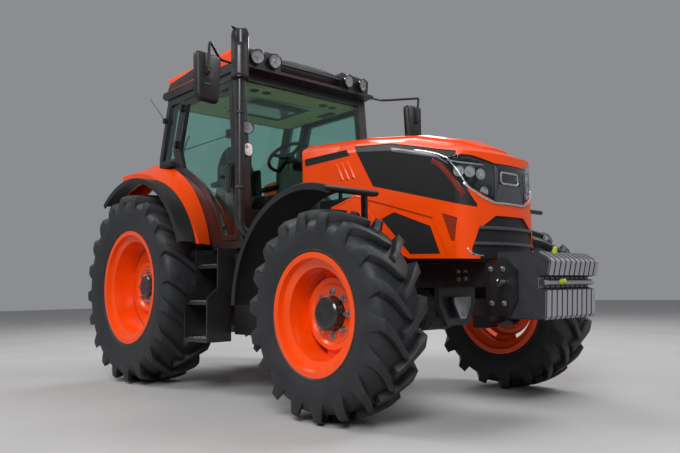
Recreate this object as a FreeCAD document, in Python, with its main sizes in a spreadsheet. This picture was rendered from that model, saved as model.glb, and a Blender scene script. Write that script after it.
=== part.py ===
import FreeCAD, Part
import math
import os
import re
import Sketcher

Vector = FreeCAD.Vector

# Driving sizes in millimetres. Places along the tractor are measured forward from the rear axle,
# heights from the ground and widths from the middle.
SIZES = [
    ("rear_axle_place", -1365, "rear axle, forward of the origin"),
    ("front_axle_ahead", 1288, "front axle, ahead of the cab front"),
    ("rear_seat_radius", 483, "bead seat of the rear rim"),
    ("rear_sidewall", 367, "rear tyre, from bead seat to lug tips"),
    ("rear_tyre_width", 520, "rear tyre section"),
    ("rear_wheel_out", 860, "middle of the rear tyre"),
    ("rear_rim_width", 436, "rear rim over its flanges"),
    ("rear_disc_in", 205, "rear wheel disc, in from the outer flange"),
    ("front_seat_radius", 356, "bead seat of the front rim"),
    ("front_sidewall", 294, "front tyre, from bead seat to lug tips"),
    ("front_tyre_width", 385, "front tyre section"),
    ("front_wheel_out", 961, "middle of the front tyre"),
    ("front_rim_width", 330, "front rim over its flanges"),
    ("front_disc_in", 178, "front wheel disc, in from the outer flange"),
    ("rim_wall", 12, "thickness of the wheel rims and discs"),
    ("lug_height", 46, "height of the tyre lugs"),
    ("kingpin_out", 700, "kingpin axis"),
    ("kingpin_radius", 24, "kingpin"),
    ("bearing_gap", 0.05, "radial gap round shafts and pins"),
    ("running_gap", 0.3, "gap between a wheel and the end of its shaft"),
    ("step_length", 355, "length of the steps"),
    ("gearbox_half_width", 215, "gearbox housing"),
    ("gearbox_low", 480, "underside of the gearbox"),
    ("gearbox_high", 1000, "top of the gearbox"),
    ("gearbox_rear", -330, "rear face of the gearbox"),
    ("engine_half_width", 235, "engine block"),
    ("engine_low", 690, "underside of the engine sump"),
    ("engine_high", 1440, "top of the engine"),
    ("rail_out", 200, "outer face of the front frame rails"),
    ("rail_thick", 40, "front frame rails"),
    ("rail_low", 800, "underside of the front frame rails"),
    ("rail_high", 960, "top of the front frame rails"),
    ("cab_half_width", 745, "outer side of the cab"),
    ("cab_wall", 55, "depth of the cab posts and sills"),
    ("cab_low", 1140, "underside of the cab"),
    ("cab_high", 2620, "top of the cab posts"),
    ("cab_front", 1360, "front of the cab at the floor"),
    ("cab_lean", 110, "lean of the front posts over the height of the cab"),
    ("cab_rear", -70, "rear of the cab"),
    ("cab_rear_lean", 160, "lean of the rear posts above the waist"),
    ("cab_waist", 2067, "height where the rear post leans forward"),
    ("arch_room", 105, "room between the rear tyre and its arch"),
    ("arch_inner", 560, "inner side of the rear wheel arch"),
    ("door_arch_room", 150, "room between the rear arch and the doors"),
    ("door_gap", 6, "gap round each door"),
    ("door_thick", 42, "doors"),
    ("door_border", 48, "frame bars of the doors"),
    ("glass_thick", 8, "window glass"),
    ("roof_rise", 265, "top of the roof above the cab posts"),
    ("hood_half_width", 400, "hood at its sides"),
    ("hood_wall", 12, "hood panels"),
    ("fender_band", 205, "width of the orange rear fender outside the cab"),
    ("flare_band", 150, "width of the black flare outside the fender"),
    ("fender_thick", 16, "fender panels"),
    ("drawbar_pin_radius", 16.5, "drawbar pin hole"),
    ("link_ball_radius", 14.4, "pin hole of the lower link balls"),
    ("top_link_pin_radius", 12.9, "pin hole of the top link"),
    ("pto_radius", 17.5, "rear power take-off shaft"),
]

# Places that follow from the sizes above.
PLACES = {
    "rear_axle_high": "rear_seat_radius + rear_sidewall",
    "front_axle_high": "front_seat_radius + front_sidewall",
    "rear_tyre_radius": "rear_axle_high",
    "front_axle": "cab_front + front_axle_ahead",
    "cab_front_high": "cab_front - cab_lean",
    "cab_rear_high": "cab_rear + cab_rear_lean",
    "visor_front": "cab_front_high + 115",
    "arch_high": "rear_axle_high - 20",
    "arch_radius": "rear_tyre_radius + arch_room",
    "door_arch_radius": "arch_radius + door_arch_room",
    "rear_hub_back": "rear_wheel_out + rear_rim_width / 2 - rear_disc_in - rim_wall - 25",
    "front_hub_back": "front_wheel_out + front_rim_width / 2 - front_disc_in - rim_wall - 25",
    "gearbox_front": "cab_front + 120",
    "engine_front": "front_axle - 88",
    "rail_front": "front_axle + 682",
    "step_front": "cab_front - 120",
    "step_rear": "step_front - step_length",
    "stack_place": "cab_front + 90",
    "stack_out": "cab_half_width + 95",
    "fender_out": "cab_half_width + fender_band",
    "flare_out": "fender_out + flare_band",
}

doc = FreeCAD.newDocument("farm_tractor")
sheet = doc.addObject("Spreadsheet::Sheet", "Sizes")
for row, (alias, value, meaning) in enumerate(SIZES, 1):
    sheet.set("A%d" % row, alias)
    sheet.set("B%d" % row, str(value))
    sheet.set("C%d" % row, meaning)
    sheet.setAlias("B%d" % row, alias)
doc.recompute()
ALIASES = {alias for alias, value, meaning in SIZES}
NODES = []
NAME = re.compile(r"[a-z_][a-z_0-9]*")


def cells(text):
    """Spell out the places that follow, then turn size names into references to the sheet."""
    text = str(text)
    while any(name in PLACES for name in NAME.findall(text)):
        text = NAME.sub(lambda m: "(%s)" % PLACES[m[0]] if m[0] in PLACES else m[0], text)
    return NAME.sub(lambda m: "Sizes." + m[0] if m[0] in ALIASES else m[0], text)


def size(text):
    """Value of a size or of a sum of sizes."""
    return float(sheet.evalExpression(cells(text).replace("Sizes.", "")))


def bind(item, **links):
    for prop, text in links.items():
        item.setExpression(prop, cells(text))
    return item


def place(item, x=0, y=0, z=0):
    """Put a piece at a place forward of the rear axle, to the left of the middle and above the ground."""
    for axis, text in (("x", "rear_axle_place + (%s)" % x), ("y", y), ("z", z)):
        item.setExpression("Placement.Base." + axis, cells(text))
    return item


def node(item, label):
    """Give a finished piece its label, which is also its file name."""
    item.Label = label
    NODES.append(item)
    return item


def block(name, x, y, z):
    """Box between two places along each axis."""
    item = doc.addObject("Part::Box", name)
    for prop, (low, high) in (("Length", x), ("Width", y), ("Height", z)):
        item.setExpression(prop, cells("(%s) - (%s)" % (high, low)))
    return place(item, x[0], y[0], z[0])


TURNS = {
    "x": FreeCAD.Rotation(Vector(0, 0, 1), Vector(1, 0, 0)),
    "y": FreeCAD.Rotation(Vector(0, 0, 1), Vector(0, 1, 0)),
    "z": FreeCAD.Rotation(),
}


def rod(name, along, radius, start, length):
    """Cylinder from a start point along one axis."""
    item = doc.addObject("Part::Cylinder", name)
    item.Placement = FreeCAD.Placement(Vector(), TURNS[along])
    bind(item, Radius=radius, Height=length)
    return place(item, *start)


def cone(name, along, radius_start, radius_end, start, length):
    item = doc.addObject("Part::Cone", name)
    item.Placement = FreeCAD.Placement(Vector(), TURNS[along])
    bind(item, Radius1=radius_start, Radius2=radius_end, Height=length)
    return place(item, *start)


def fuse(name, *pieces):
    item = doc.addObject("Part::MultiFuse", name)
    item.Shapes = list(pieces)
    return item


def cut(name, base, *tools):
    item = doc.addObject("Part::Cut", name)
    item.Base = base
    item.Tool = tools[0] if len(tools) == 1 else fuse(name + "_tools", *tools)
    return item


def mirrored(name, item):
    """The same piece on the other side of the tractor."""
    other = doc.addObject("Part::Mirroring", name)
    other.Source = item
    other.Normal = (0, 1, 0)
    return other


def both_sides(name, item):
    return fuse(name, item, mirrored(name + "_other", item))


def feature(name, shape, x=0, y=0, z=0):
    """Piece whose shape is worked out from the sizes, about a place that is tied to the sheet."""
    item = doc.addObject("Part::Feature", name)
    item.Shape = shape
    return place(item, x, y, z)


def pad(name, plane, outline, thickness, holes=(), shift=0):
    """Plate padded both ways from an outline whose corners are tied to the sheet."""
    body = doc.addObject("PartDesign::Body", name)
    plane_item = [part for part in body.Origin.OriginFeatures if part.Role == plane + "_Plane"][0]
    sketch = body.newObject("Sketcher::SketchObject", name + "_outline")
    sketch.AttachmentSupport = [(plane_item, "")]
    sketch.MapMode = "FlatFace"
    for loop in (outline, *holes):
        first = sketch.GeometryCount
        corners = [Vector(size(u), size(v), 0) for u, v in loop]
        count = len(corners)
        for i, corner in enumerate(corners):
            sketch.addGeometry(Part.LineSegment(corner, corners[(i + 1) % count]), False)
        for i, (u, v) in enumerate(loop):
            line = first + i
            sketch.addConstraint(Sketcher.Constraint("Coincident", line, 2, first + (i + 1) % count, 1))
            for kind, text, value in (("DistanceX", u, corners[i].x), ("DistanceY", v, corners[i].y)):
                number = sketch.addConstraint(Sketcher.Constraint(kind, -1, 1, line, 1, value))
                sketch.setExpression("Constraints[%d]" % number, cells(text))
    solid = body.newObject("PartDesign::Pad", name + "_pad")
    solid.Profile = sketch
    solid.Midplane = True
    solid.setExpression("Length", cells(thickness))
    body.Tip = solid
    if plane == "XZ":
        return place(body, 0, shift, 0)
    return place(body, shift, 0, 0)


def outline_wire(points, plane, level=0):
    """Closed outline of lines and arcs. A point's third entry is a place on the arc that reaches it."""
    frames = {
        "side": lambda u, v: Vector(u, level, v),
        "front": lambda u, v: Vector(level, u, v),
        "top": lambda u, v: Vector(u, v, level),
    }
    spot = frames[plane]
    edges = []
    for i, point in enumerate(points):
        last = points[i - 1]
        start = spot(last[0], last[1])
        end = spot(point[0], point[1])
        if len(point) > 2:
            edges.append(Part.Arc(start, spot(*point[2]), end).toShape())
        else:
            edges.append(Part.makeLine(start, end))
    return Part.Wire(edges[1:] + edges[:1])


ACROSS = {"side": Vector(0, 1, 0), "front": Vector(1, 0, 0), "top": Vector(0, 0, 1)}


def prism(points, plane, low, high):
    """Solid with an outline of the side, front or top view, between two levels across it."""
    return Part.Face(outline_wire(points, plane, low)).extrude(ACROSS[plane] * (high - low))


def inset(wire, distance):
    """Outline moved inward."""
    for step in (-distance, distance):
        moved_wire = wire.makeOffset2D(step, 2)
        if Part.Face(moved_wire).Area < Part.Face(wire).Area:
            return moved_wire
    return wire


def prism_of(wire, direction, length):
    return Part.Face(wire).extrude(direction * length)


def bent_panel(stations):
    """Panel lofted straight between arcs of the side view at a few places across the tractor."""
    wires = []
    for y, start, middle, end, thick in stations:
        outer = Part.Arc(*[Vector(x, y, z) for x, z in (start, middle, end)]).toShape()
        centre = outer.Curve.Center
        inner = []
        for x, z in (start, middle, end):
            spoke = Vector(x, y, z) - centre
            inner.append(centre + spoke * ((spoke.Length - thick) / spoke.Length))
        low = Part.Arc(*inner).toShape()
        first = Part.makeLine(Vector(start[0], y, start[1]), inner[0])
        last = Part.makeLine(Vector(end[0], y, end[1]), inner[2])
        wires.append(Part.Wire(Part.__sortEdges__([outer, last, low, first])))
    return Part.makeLoft(wires, True, True)


def flip(shape):
    """The same shape on the other side of the tractor."""
    return shape.mirror(Vector(0, 0, 0), Vector(0, 1, 0))


def pipe(points, radius, bend):
    """Round bar or tube along straight runs joined by tangent arcs."""
    spots = [Vector(*point) for point in points]
    edges = []
    start = spots[0]
    for i in range(1, len(spots) - 1):
        before = (spots[i - 1] - spots[i]).normalize()
        after = (spots[i + 1] - spots[i]).normalize()
        half = before.getAngle(after) / 2
        reach = bend / math.tan(half)
        first, last = spots[i] + before * reach, spots[i] + after * reach
        middle_way = (before + after).normalize()
        middle = spots[i] + middle_way * (bend / math.sin(half) - bend)
        edges.append(Part.makeLine(start, first))
        edges.append(Part.Arc(first, middle, last).toShape())
        start = last
    edges.append(Part.makeLine(start, spots[-1]))
    path = Part.Wire(edges)
    ring = Part.Wire(Part.makeCircle(radius, spots[0], spots[1] - spots[0]))
    return path.makePipeShell([ring], True, True)


# Tyres: a ring of flat facets with lugs that slant back to the shoulders and alternate from side to side.
def tyre_shape(radius, width, seat, rim_width, pitches):
    """Tyre about the Y axis, centred on the origin."""
    half = width / 2
    carcass = radius - size("lug_height")
    pitch = 2 * math.pi / pitches
    lug_share = 0.34
    bead = seat / math.cos(pitch / 4) + size("running_gap")
    bead_out = rim_width / 2 - 22
    # row: place across, radius of the floor, radius of the lug top, slant in pitches
    rows = [
        (0.0, carcass, radius, 0.0),
        (half * 0.50, carcass - 3, radius - 3, 0.48),
        (half * 0.93, carcass - 20, radius - 16, 0.80),
        (half * 1.00, carcass - 75, carcass - 75, 0.86),
        (half * 0.985, (carcass + seat) / 2 - 20, 0, 1.0),
        (bead_out, bead, 0, 1.0),
    ]
    triangles = []

    def spot(y, r, angle):
        return Vector(-r * math.sin(angle), y, r * math.cos(angle))

    def fan(points):
        for i in range(1, len(points) - 1):
            triangles.append((points[0], points[i], points[i + 1]))

    for side in (1, -1):
        start = 0 if side == 1 else pitch / 2
        for k in range(pitches):
            a0 = start + k * pitch

            def at(row, share, top=False):
                y, floor, crest, slant = rows[row]
                return spot(side * y, crest if top else floor, a0 + (share + slant) * pitch)

            def skin(points):
                fan(points if side == 1 else points[::-1])

            w = lug_share
            skin([at(0, 0, True), at(1, 0, True), at(1, w, True), at(0, w, True)])
            skin([at(1, 0, True), at(2, 0, True), at(2, w, True), at(1, w, True)])
            skin([at(2, 0, True), at(3, 0), at(3, w), at(2, w, True)])
            skin([at(0, 0), at(0, 0, True), at(0, w, True), at(0, w)])
            for j in (0, 1):
                skin([at(j, 0), at(j + 1, 0), at(j + 1, 0, True), at(j, 0, True)])
                skin([at(j, w, True), at(j + 1, w, True), at(j + 1, w), at(j, w)])
            skin([at(2, 0), at(3, 0), at(2, 0, True)])
            skin([at(2, w, True), at(3, w), at(2, w)])
            skin([at(1, w), at(1, 1), at(0, 1), at(0, 0.5 + w), at(0, 0.5), at(0, w)])
            skin([at(1, w), at(2, w), at(2, 1), at(1, 1)])
            skin([at(2, w), at(3, w), at(3, 1), at(2, 1)])
            skin([at(3, 0), at(4, 0), at(4, 0.5), at(3, w)])
            skin([at(3, w), at(4, 0.5), at(4, 1), at(3, 1)])
            skin([at(4, 0), at(5, 0), at(5, 0.5), at(4, 0.5)])
            skin([at(4, 0.5), at(5, 0.5), at(5, 1), at(4, 1)])
    for k in range(2 * pitches):
        a = k * pitch / 2
        b = a + pitch / 2
        fan([spot(bead_out, bead, a), spot(-bead_out, bead, a), spot(-bead_out, bead, b),
             spot(bead_out, bead, b)])
    faces = [Part.Face(Part.makePolygon([p, q, o, p])) for p, q, o in triangles]
    skin_shape = Part.makeCompound(faces)
    skin_shape.sewShape()
    solid = Part.makeSolid(skin_shape.Shells[0])
    if solid.Volume < 0:
        solid.reverse()
    return solid


def revolved(profile):
    """Solid turned about the Y axis from places across and radii."""
    points = [Vector(0, y, r) for y, r in profile]
    return Part.Face(Part.makePolygon(points + points[:1])).revolve(Vector(), Vector(0, 1, 0), 360)


# Rims: a rolled drop-centre barrel with its flanges, and a pressed disc with four vents that is bolted
# between the hub flange and its nuts.
FLANGE_RISE = 24
WELL_DROP = 58
HUB_FLANGE = 25
PILOT_RADIUS = 110
VENTS = 4


def rim_shape(seat, width, disc_in, nut_circle):
    """Rim about the Y axis, outer side towards +Y, centred on the origin."""
    half = width / 2
    wall = size("rim_wall")
    bottom = seat - WELL_DROP
    lip = bottom - wall
    barrel = revolved([
        (half, seat + FLANGE_RISE), (half - 10, seat + FLANGE_RISE), (half - 14, seat),
        (half - 44, seat - 0.5),
        (half - 66, bottom), (66 - half, bottom), (44 - half, seat - 0.5), (14 - half, seat),
        (10 - half, seat + FLANGE_RISE), (-half, seat + FLANGE_RISE), (2 - half, seat - wall),
        (42 - half, seat - wall - 6), (56 - half, lip), (half - 56, lip), (half - 42, seat - wall - 6),
        (half - 2, seat - wall),
    ])
    face = half - disc_in
    dish = [(PILOT_RADIUS, 0), (nut_circle + 42, 0), (nut_circle + 58, 14), (nut_circle + 84, 14),
            (nut_circle + 104, -20), (lip, -34)]
    front_side = [(face + step, r) for r, step in dish]
    back_side = [(face + step - wall, r) for r, step in reversed(dish)]
    disc = revolved(front_side + back_side)
    for k in range(VENTS):
        start = Vector(0, face - 100, 0)
        slot = Part.makeCylinder(lip - 12, 200, start, Vector(0, 1, 0), 50)
        slot = slot.cut(Part.makeCylinder(lip - 42, 200, start, Vector(0, 1, 0)))
        slot.rotate(Vector(), Vector(0, 1, 0), 360 / VENTS * k + 20)
        disc = disc.cut(slot)
    return barrel.fuse(disc).removeSplitter()


def hub_shape(width, disc_in, cap_radius, cap_length):
    """Hub with its flange behind the disc, the pilot through it and the domed cap in front."""
    face = width / 2 - disc_in
    back = face - size("rim_wall")
    return revolved([
        (back - HUB_FLANGE, 0), (back - HUB_FLANGE, 172), (back, 172), (back, PILOT_RADIUS),
        (face, PILOT_RADIUS),
        (face, cap_radius + 4), (face + 8, cap_radius), (face + cap_length - 12, cap_radius),
        (face + cap_length - 3, cap_radius - 9), (face + cap_length, cap_radius - 28), (face + cap_length, 0),
    ])


# name, lugs a side, nut circle radius, cap radius, cap length
WHEELS = [
    ("rear", 20, 137.5, 100, 42),
    ("front", 18, 137.5, 103, 74),
]
for name, pitches, nut_circle, cap_radius, cap_length in WHEELS:
    radius, width, seat, rim_width, disc_in = [
        size(name + part) for part in ("_axle_high", "_tyre_width", "_seat_radius", "_rim_width", "_disc_in")]
    wheel_shapes = [
        ("tyre", tyre_shape(radius, width, seat, rim_width, pitches)),
        ("rim", rim_shape(seat, rim_width, disc_in, nut_circle)),
        ("hub", hub_shape(rim_width, disc_in, cap_radius, cap_length)),
    ]
    forward = {"rear": 0, "front": "front_axle"}[name]
    for side, sign, shape_of in (("left", "", lambda shape: shape), ("right", "-", flip)):
        for piece, shape in wheel_shapes:
            label = "%s_%s_%s" % (name, piece, side)
            item = feature(label + "_ring", shape_of(shape), forward, sign + name + "_wheel_out",
                           name + "_axle_high")
            node(item, label)

# Gearbox and rear axle housing, the backbone of the tractor, with the bell at its front and the lift
# cover over its rear.
gearbox_body = pad("gearbox_body", "XZ", [
    ("gearbox_rear", "gearbox_low + 40"), ("gearbox_rear + 80", "gearbox_low"),
    ("gearbox_front - 420", "gearbox_low"),
    ("gearbox_front - 300", "gearbox_low + 90"), ("gearbox_front", "gearbox_low + 90"),
    ("gearbox_front", "gearbox_high"), ("gearbox_rear", "gearbox_high")], "2 * gearbox_half_width")
rear_housing = pad("rear_housing", "XZ", [
    ("gearbox_rear", "gearbox_low + 60"), ("gearbox_rear + 90", "gearbox_low + 20"),
    ("270", "gearbox_low + 40"),
    ("320", "gearbox_low + 110"), ("320", "gearbox_high + 40"), ("260", "gearbox_high + 90"),
    ("gearbox_rear", "gearbox_high + 90")], "2 * gearbox_half_width + 70")
bell = pad("bell", "XZ", [
    ("gearbox_front - 60", "gearbox_low + 60"), ("gearbox_front", "gearbox_low + 60"),
    ("gearbox_front", "gearbox_high + 70"), ("gearbox_front - 60", "gearbox_high + 70")],
    "2 * gearbox_half_width + 90")
lift_cover = pad("lift_cover", "XZ", [
    ("gearbox_rear", "gearbox_high + 90"), ("-170", "gearbox_high + 90"), ("-170", "gearbox_high + 190"),
    ("-200", "gearbox_high + 215"), ("gearbox_rear + 30", "gearbox_high + 215"),
    ("gearbox_rear", "gearbox_high + 180")],
    "2 * gearbox_half_width + 70")
side_cover = rod("side_cover", "y", 120, (560, "-gearbox_half_width - 22", "gearbox_low + 260"),
                 "2 * gearbox_half_width + 44")
flange = block("gearbox_flange", (690, 730), ("-gearbox_half_width - 18", "gearbox_half_width + 18"),
               ("gearbox_low - 12", "gearbox_high + 14"))
# name, rear end, front end, inner edge, outer edge, foot
MOUNT_BLOCKS = [
    ("front_block", 1150, 1250, 110, 200, "gearbox_high"),
    ("rear_block", -60, 40, 150, 240, "gearbox_high + 90"),
]
mount_blocks = [block(name, (rear, front), (inner, outer), (foot, "cab_low"))
                for name, rear, front, inner, outer, foot in MOUNT_BLOCKS]
cab_mounts = both_sides("cab_mounts", fuse("cab_mounts_one_side", *mount_blocks))
node(fuse("gearbox_whole", gearbox_body, rear_housing, bell, lift_cover, side_cover, flange, cab_mounts),
     "gearbox")

trumpet = cone("trumpet", "y", 185, 120, (0, "gearbox_half_width + 35", "rear_axle_high"),
               "arch_inner - 50 - gearbox_half_width")
axle_flange = rod("axle_flange", "y", 160, (0, "arch_inner - 15", "rear_axle_high"), 30)
axle_end = rod("axle_end", "y", 132, (0, "arch_inner + 15", "rear_axle_high"), 80)
axle_stub = rod("axle_stub", "y", 64, (0, "arch_inner + 95", "rear_axle_high"),
                "rear_hub_back - running_gap - arch_inner - 95")
brake_housing = rod("brake_housing", "y", 215, (0, "gearbox_half_width + 35", "rear_axle_high"), 60)
node(both_sides("rear_axle_whole", fuse("half_axle", trumpet, axle_flange, axle_end, axle_stub,
                                        brake_housing)),
     "rear_axle")

# Engine block with its sump.
engine_block = block("engine_block", ("gearbox_front", "engine_front"),
                     ("-engine_half_width", "engine_half_width"),
                     ("rail_high + 10", "engine_high"))
sump = block("sump", ("gearbox_front", "front_axle - 348"),
             ("-rail_out + rail_thick + 5", "rail_out - rail_thick - 5"),
             ("engine_low", "rail_high + 10"))
rocker_cover = block("rocker_cover", ("gearbox_front + 90", "engine_front - 90"), (-120, 120),
                     ("engine_high", "engine_high + 90"))
node(fuse("engine_whole", engine_block, sump, rocker_cover), "engine")

# Radiators standing on the rails in front of the engine.
node(block("coolers", ("engine_front + 150", "engine_front + 400"), (-300, 300), ("rail_high", 1560)),
     "coolers")

# Front frame: two rails, a front cross plate and the two hangers that carry the front axle.
rail = block("rail", ("gearbox_front", "rail_front"), ("rail_out - rail_thick", "rail_out"),
             ("rail_low", "rail_high"))
rails = both_sides("rails", rail)
cross = block("front_cross", ("rail_front - 60", "rail_front"), ("-rail_out", "rail_out"),
              ("rail_low - 180", "rail_high"))
hangers = [pad(name, "YZ", [
    ("-rail_out", "rail_low + 20"), ("-rail_out", "front_axle_high + 40"), ("-120", "front_axle_high - 110"),
    ("120", "front_axle_high - 110"), ("rail_out", "front_axle_high + 40"), ("rail_out", "rail_low + 20")],
    40, shift="front_axle + %d" % forward) for name, forward in (("rear_hanger", -270),
    ("front_hanger", 215))]
pivot_hole = rod("pivot_hole", "x", "62 + bearing_gap", ("front_axle - 300", 0, "front_axle_high"), 600)
front_frame = fuse("front_frame_all", rails, cross, *hangers)
node(cut("front_frame_whole", front_frame, pivot_hole), "front_frame")

# Front axle: the beam swings on a pivot under the frame, with a fork for each kingpin, the cast
# differential case in its middle and the steering cylinder behind it.
beam = pad("beam", "YZ", [
    ("-kingpin_out + 95", "front_axle_high - 60"), (-190, "front_axle_high - 78"),
    (190, "front_axle_high - 78"),
    ("kingpin_out - 95", "front_axle_high - 60"), ("kingpin_out - 95", "front_axle_high + 60"),
    (190, "front_axle_high + 68"), (-190, "front_axle_high + 68"),
    ("-kingpin_out + 95", "front_axle_high + 60")],
    120, shift="front_axle")
pivot = rod("pivot", "x", 62, ("front_axle - 290", 0, "front_axle_high"), 525)
drive_case = rod("drive_case", "y", 150, ("front_axle", -130, "front_axle_high"), 260)
fork_web = block("fork_web", ("front_axle - 65", "front_axle + 65"),
                 ("kingpin_out - 130", "kingpin_out - 95"),
                 ("front_axle_high - 165", "front_axle_high + 165"))
fork_parts = [fork_web]
for name, low in (("fork_top", 125), ("fork_low", -165)):
    ear = rod(name, "z", 58, ("front_axle", "kingpin_out", "front_axle_high + %d" % low), 40)
    tongue = block(name + "_tongue", ("front_axle - 58", "front_axle + 58"),
                   ("kingpin_out - 130", "kingpin_out"),
                   ("front_axle_high + %d" % low, "front_axle_high + %d" % (low + 40)))
    fork_parts += [ear, tongue]
kingpin_hole = rod("kingpin_hole", "z", "kingpin_radius + bearing_gap",
                   ("front_axle", "kingpin_out", "front_axle_high - 200"), 400)
fork = cut("fork", fuse("fork_solid", *fork_parts), kingpin_hole)
forks = both_sides("forks", fork)
steer_barrel = rod("steer_barrel", "y", 42, ("front_axle - 190", -230, "front_axle_high + 20"), 460)
steer_foot = block("steer_foot", ("front_axle - 190", "front_axle - 55"), (-200, 200),
                   ("front_axle_high + 5", "front_axle_high + 35"))
steer_bore = rod("steer_bore", "y", "18 + bearing_gap", ("front_axle - 190", -260, "front_axle_high + 20"),
                 520)
front_axle_all = fuse("front_axle_all", beam, pivot, drive_case, forks, steer_barrel, steer_foot)
node(cut("front_axle_whole", front_axle_all, steer_bore), "front_axle")
node(rod("steer_rod", "y", 18, ("front_axle - 190", "-kingpin_out", "front_axle_high + 20"),
         "2 * kingpin_out"),
     "steering_rod")

# Knuckles: kingpin, swivel housing, steering arm, planetary hub carrier, the stub that the wheel turns
# on and the bracket that holds the fender.
FENDER_ARC = [Vector(157, 0, 768), Vector(-690, 0, 568), Vector(-903, 0, 50)]
FENDER_WALL = 14
fender_circle = Part.Arc(*FENDER_ARC).toShape().Curve
fender_underside = fender_circle.Center.z - 0.6 + min(
    math.sqrt((fender_circle.Radius - FENDER_WALL) ** 2 - (forward - fender_circle.Center.x) ** 2)
    for forward in (70, 110))
king = rod("king", "z", "kingpin_radius", ("front_axle", "kingpin_out", "front_axle_high - 165"), 330)
swivel = rod("swivel", "z", 75, ("front_axle", "kingpin_out", "front_axle_high - 119"), 238)
arm = block("steer_arm", ("front_axle - 215", "front_axle"), ("kingpin_out - 15", "kingpin_out + 20"),
            ("front_axle_high - 32", "front_axle_high - 4"))
carrier = cone("hub_carrier", "y", 112, 140, ("front_axle", "kingpin_out + 40", "front_axle_high"), 62)
stub = rod("wheel_stub", "y", 70, ("front_axle", "kingpin_out + 100", "front_axle_high"),
           "front_hub_back - running_gap - kingpin_out - 100")
bracket = block("fender_bracket", ("front_axle + 70", "front_axle + 110"),
                ("kingpin_out + 35", "kingpin_out + 57"),
                ("front_axle_high", "front_axle_high + %.2f" % fender_underside))
knuckle_left = fuse("knuckle_left_whole", king, swivel, arm, carrier, stub, bracket)
node(knuckle_left, "knuckle_left")
node(mirrored("knuckle_right_whole", knuckle_left), "knuckle_right")

# Front fenders, which turn with the knuckles, with a rolled front end and a lip along the outer side.
arc_points = [(point.x, point.z) for point in FENDER_ARC]
fender_in = size("kingpin_out") + 35
fender_side = size("front_wheel_out") + 150
front_fender = bent_panel([(fender_in, *arc_points, FENDER_WALL), (fender_side, *arc_points, FENDER_WALL)])
fender_lip = bent_panel([(fender_side - 16, *arc_points, 40), (fender_side, *arc_points, 40)])
fender_end = Part.makeCylinder(17, fender_side - fender_in,
                               Vector(FENDER_ARC[0].x, fender_in, FENDER_ARC[0].z - 17),
                               Vector(0, 1, 0))
front_fender = front_fender.fuse([fender_lip, fender_end])
node(feature("front_fender_left_panel", front_fender, "front_axle", 0, "front_axle_high"),
     "front_fender_left")
node(feature("front_fender_right_panel", flip(front_fender), "front_axle", 0, "front_axle_high"),
     "front_fender_right")

# Weight carrier with its side plates, and the row of front weights with the lock rod through their notch.
WEIGHT_ROW = 580
WEIGHT_COUNT = 10
PLATE_GAP = 0.5
carrier_body = block("carrier_body", ("rail_front", "rail_front + 90"), (-WEIGHT_ROW / 2, WEIGHT_ROW / 2),
                     ("rail_high - 260", "rail_high - 10"))
side_plate = pad("side_plate", "XZ", [
    ("rail_front + 42", 640), ("rail_front + 170", 620), ("rail_front + 230", 720), ("rail_front + 230", 900),
    ("rail_front + 140", 985), ("rail_front + 70", 930), ("rail_front + 42", 930)], 20,
    shift="%g" % (WEIGHT_ROW / 2 + 10))
node(fuse("weight_carrier_whole", carrier_body, both_sides("side_plates", side_plate)), "weight_carrier")
WEIGHT_OUTLINE = [(0, 700), (40, 606), (300, 606), (315, 625), (325, 775), (280, 790), (280, 850), (340, 861),
                  (360, 943), (345, 960), (280, 1000), (0, 1010)]
WEIGHT_RIM = 7
LOCK_ROD_RADIUS = 18
weight_parts = []
for i in range(WEIGHT_COUNT):
    width = WEIGHT_ROW / WEIGHT_COUNT
    low = -WEIGHT_ROW / 2 + width * i
    web = prism_of(inset(outline_wire(WEIGHT_OUTLINE, "side", low), WEIGHT_RIM), Vector(0, 1, 0),
                   width - PLATE_GAP)
    weight_parts += [web, prism(WEIGHT_OUTLINE, "side", low + WEIGHT_RIM,
                                low + width - PLATE_GAP - WEIGHT_RIM)]
lock_rod = Part.makeCylinder(LOCK_ROD_RADIUS, WEIGHT_ROW,
                             Vector(280 + LOCK_ROD_RADIUS - 1, -WEIGHT_ROW / 2, 820),
                             Vector(0, 1, 0))
node(feature("front_weight_row", weight_parts[0].fuse(weight_parts[1:] + [lock_rod]), "rail_front + 90"),
     "front_weights")

# Drive shaft to the front axle.
node(rod("drive_shaft_tube", "x", 38, ("gearbox_front", 0, "front_axle_high"),
         "front_axle - 290 - gearbox_front"),
     "drive_shaft")


# Side tanks below the cab and the steps on both sides.
tank = pad("tank", "XZ", [
    ("step_front + 50", 460), ("front_axle - 1090", 460), ("front_axle - 1028", 540),
    ("front_axle - 1028", 1030),
    ("front_axle - 1080", 1090), ("step_front + 50", 1090)], "735 - gearbox_half_width",
    shift="(gearbox_half_width + 45 + 780) / 2")
node(both_sides("side_tanks_whole", tank), "side_tanks")
# name, inner edge, outer edge, height
STEPS = [
    ("low_step", 800, 1000, 430),
    ("middle_step", 780, 985, 720),
    ("high_step", 640, 890, 1010),
]
TREAD = 26
step_parts = [block(name, ("step_rear", "step_front"), (inner, outer), (height - TREAD, height))
              for name, inner, outer, height in STEPS]
for name, middle in (("step_side_rear", "step_rear + 7"), ("step_side_front", "step_front - 7")):
    step_parts.append(pad(name, "YZ", [
        (640, 960), (780, 690), (780, 404), (1000, 404), (1000, 745), (905, 830), (905, "cab_low"),
        (640, "cab_low")],
        14, shift=middle))
node(both_sides("access_steps_whole", fuse("steps_one_side", *step_parts)), "access_steps")

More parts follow.
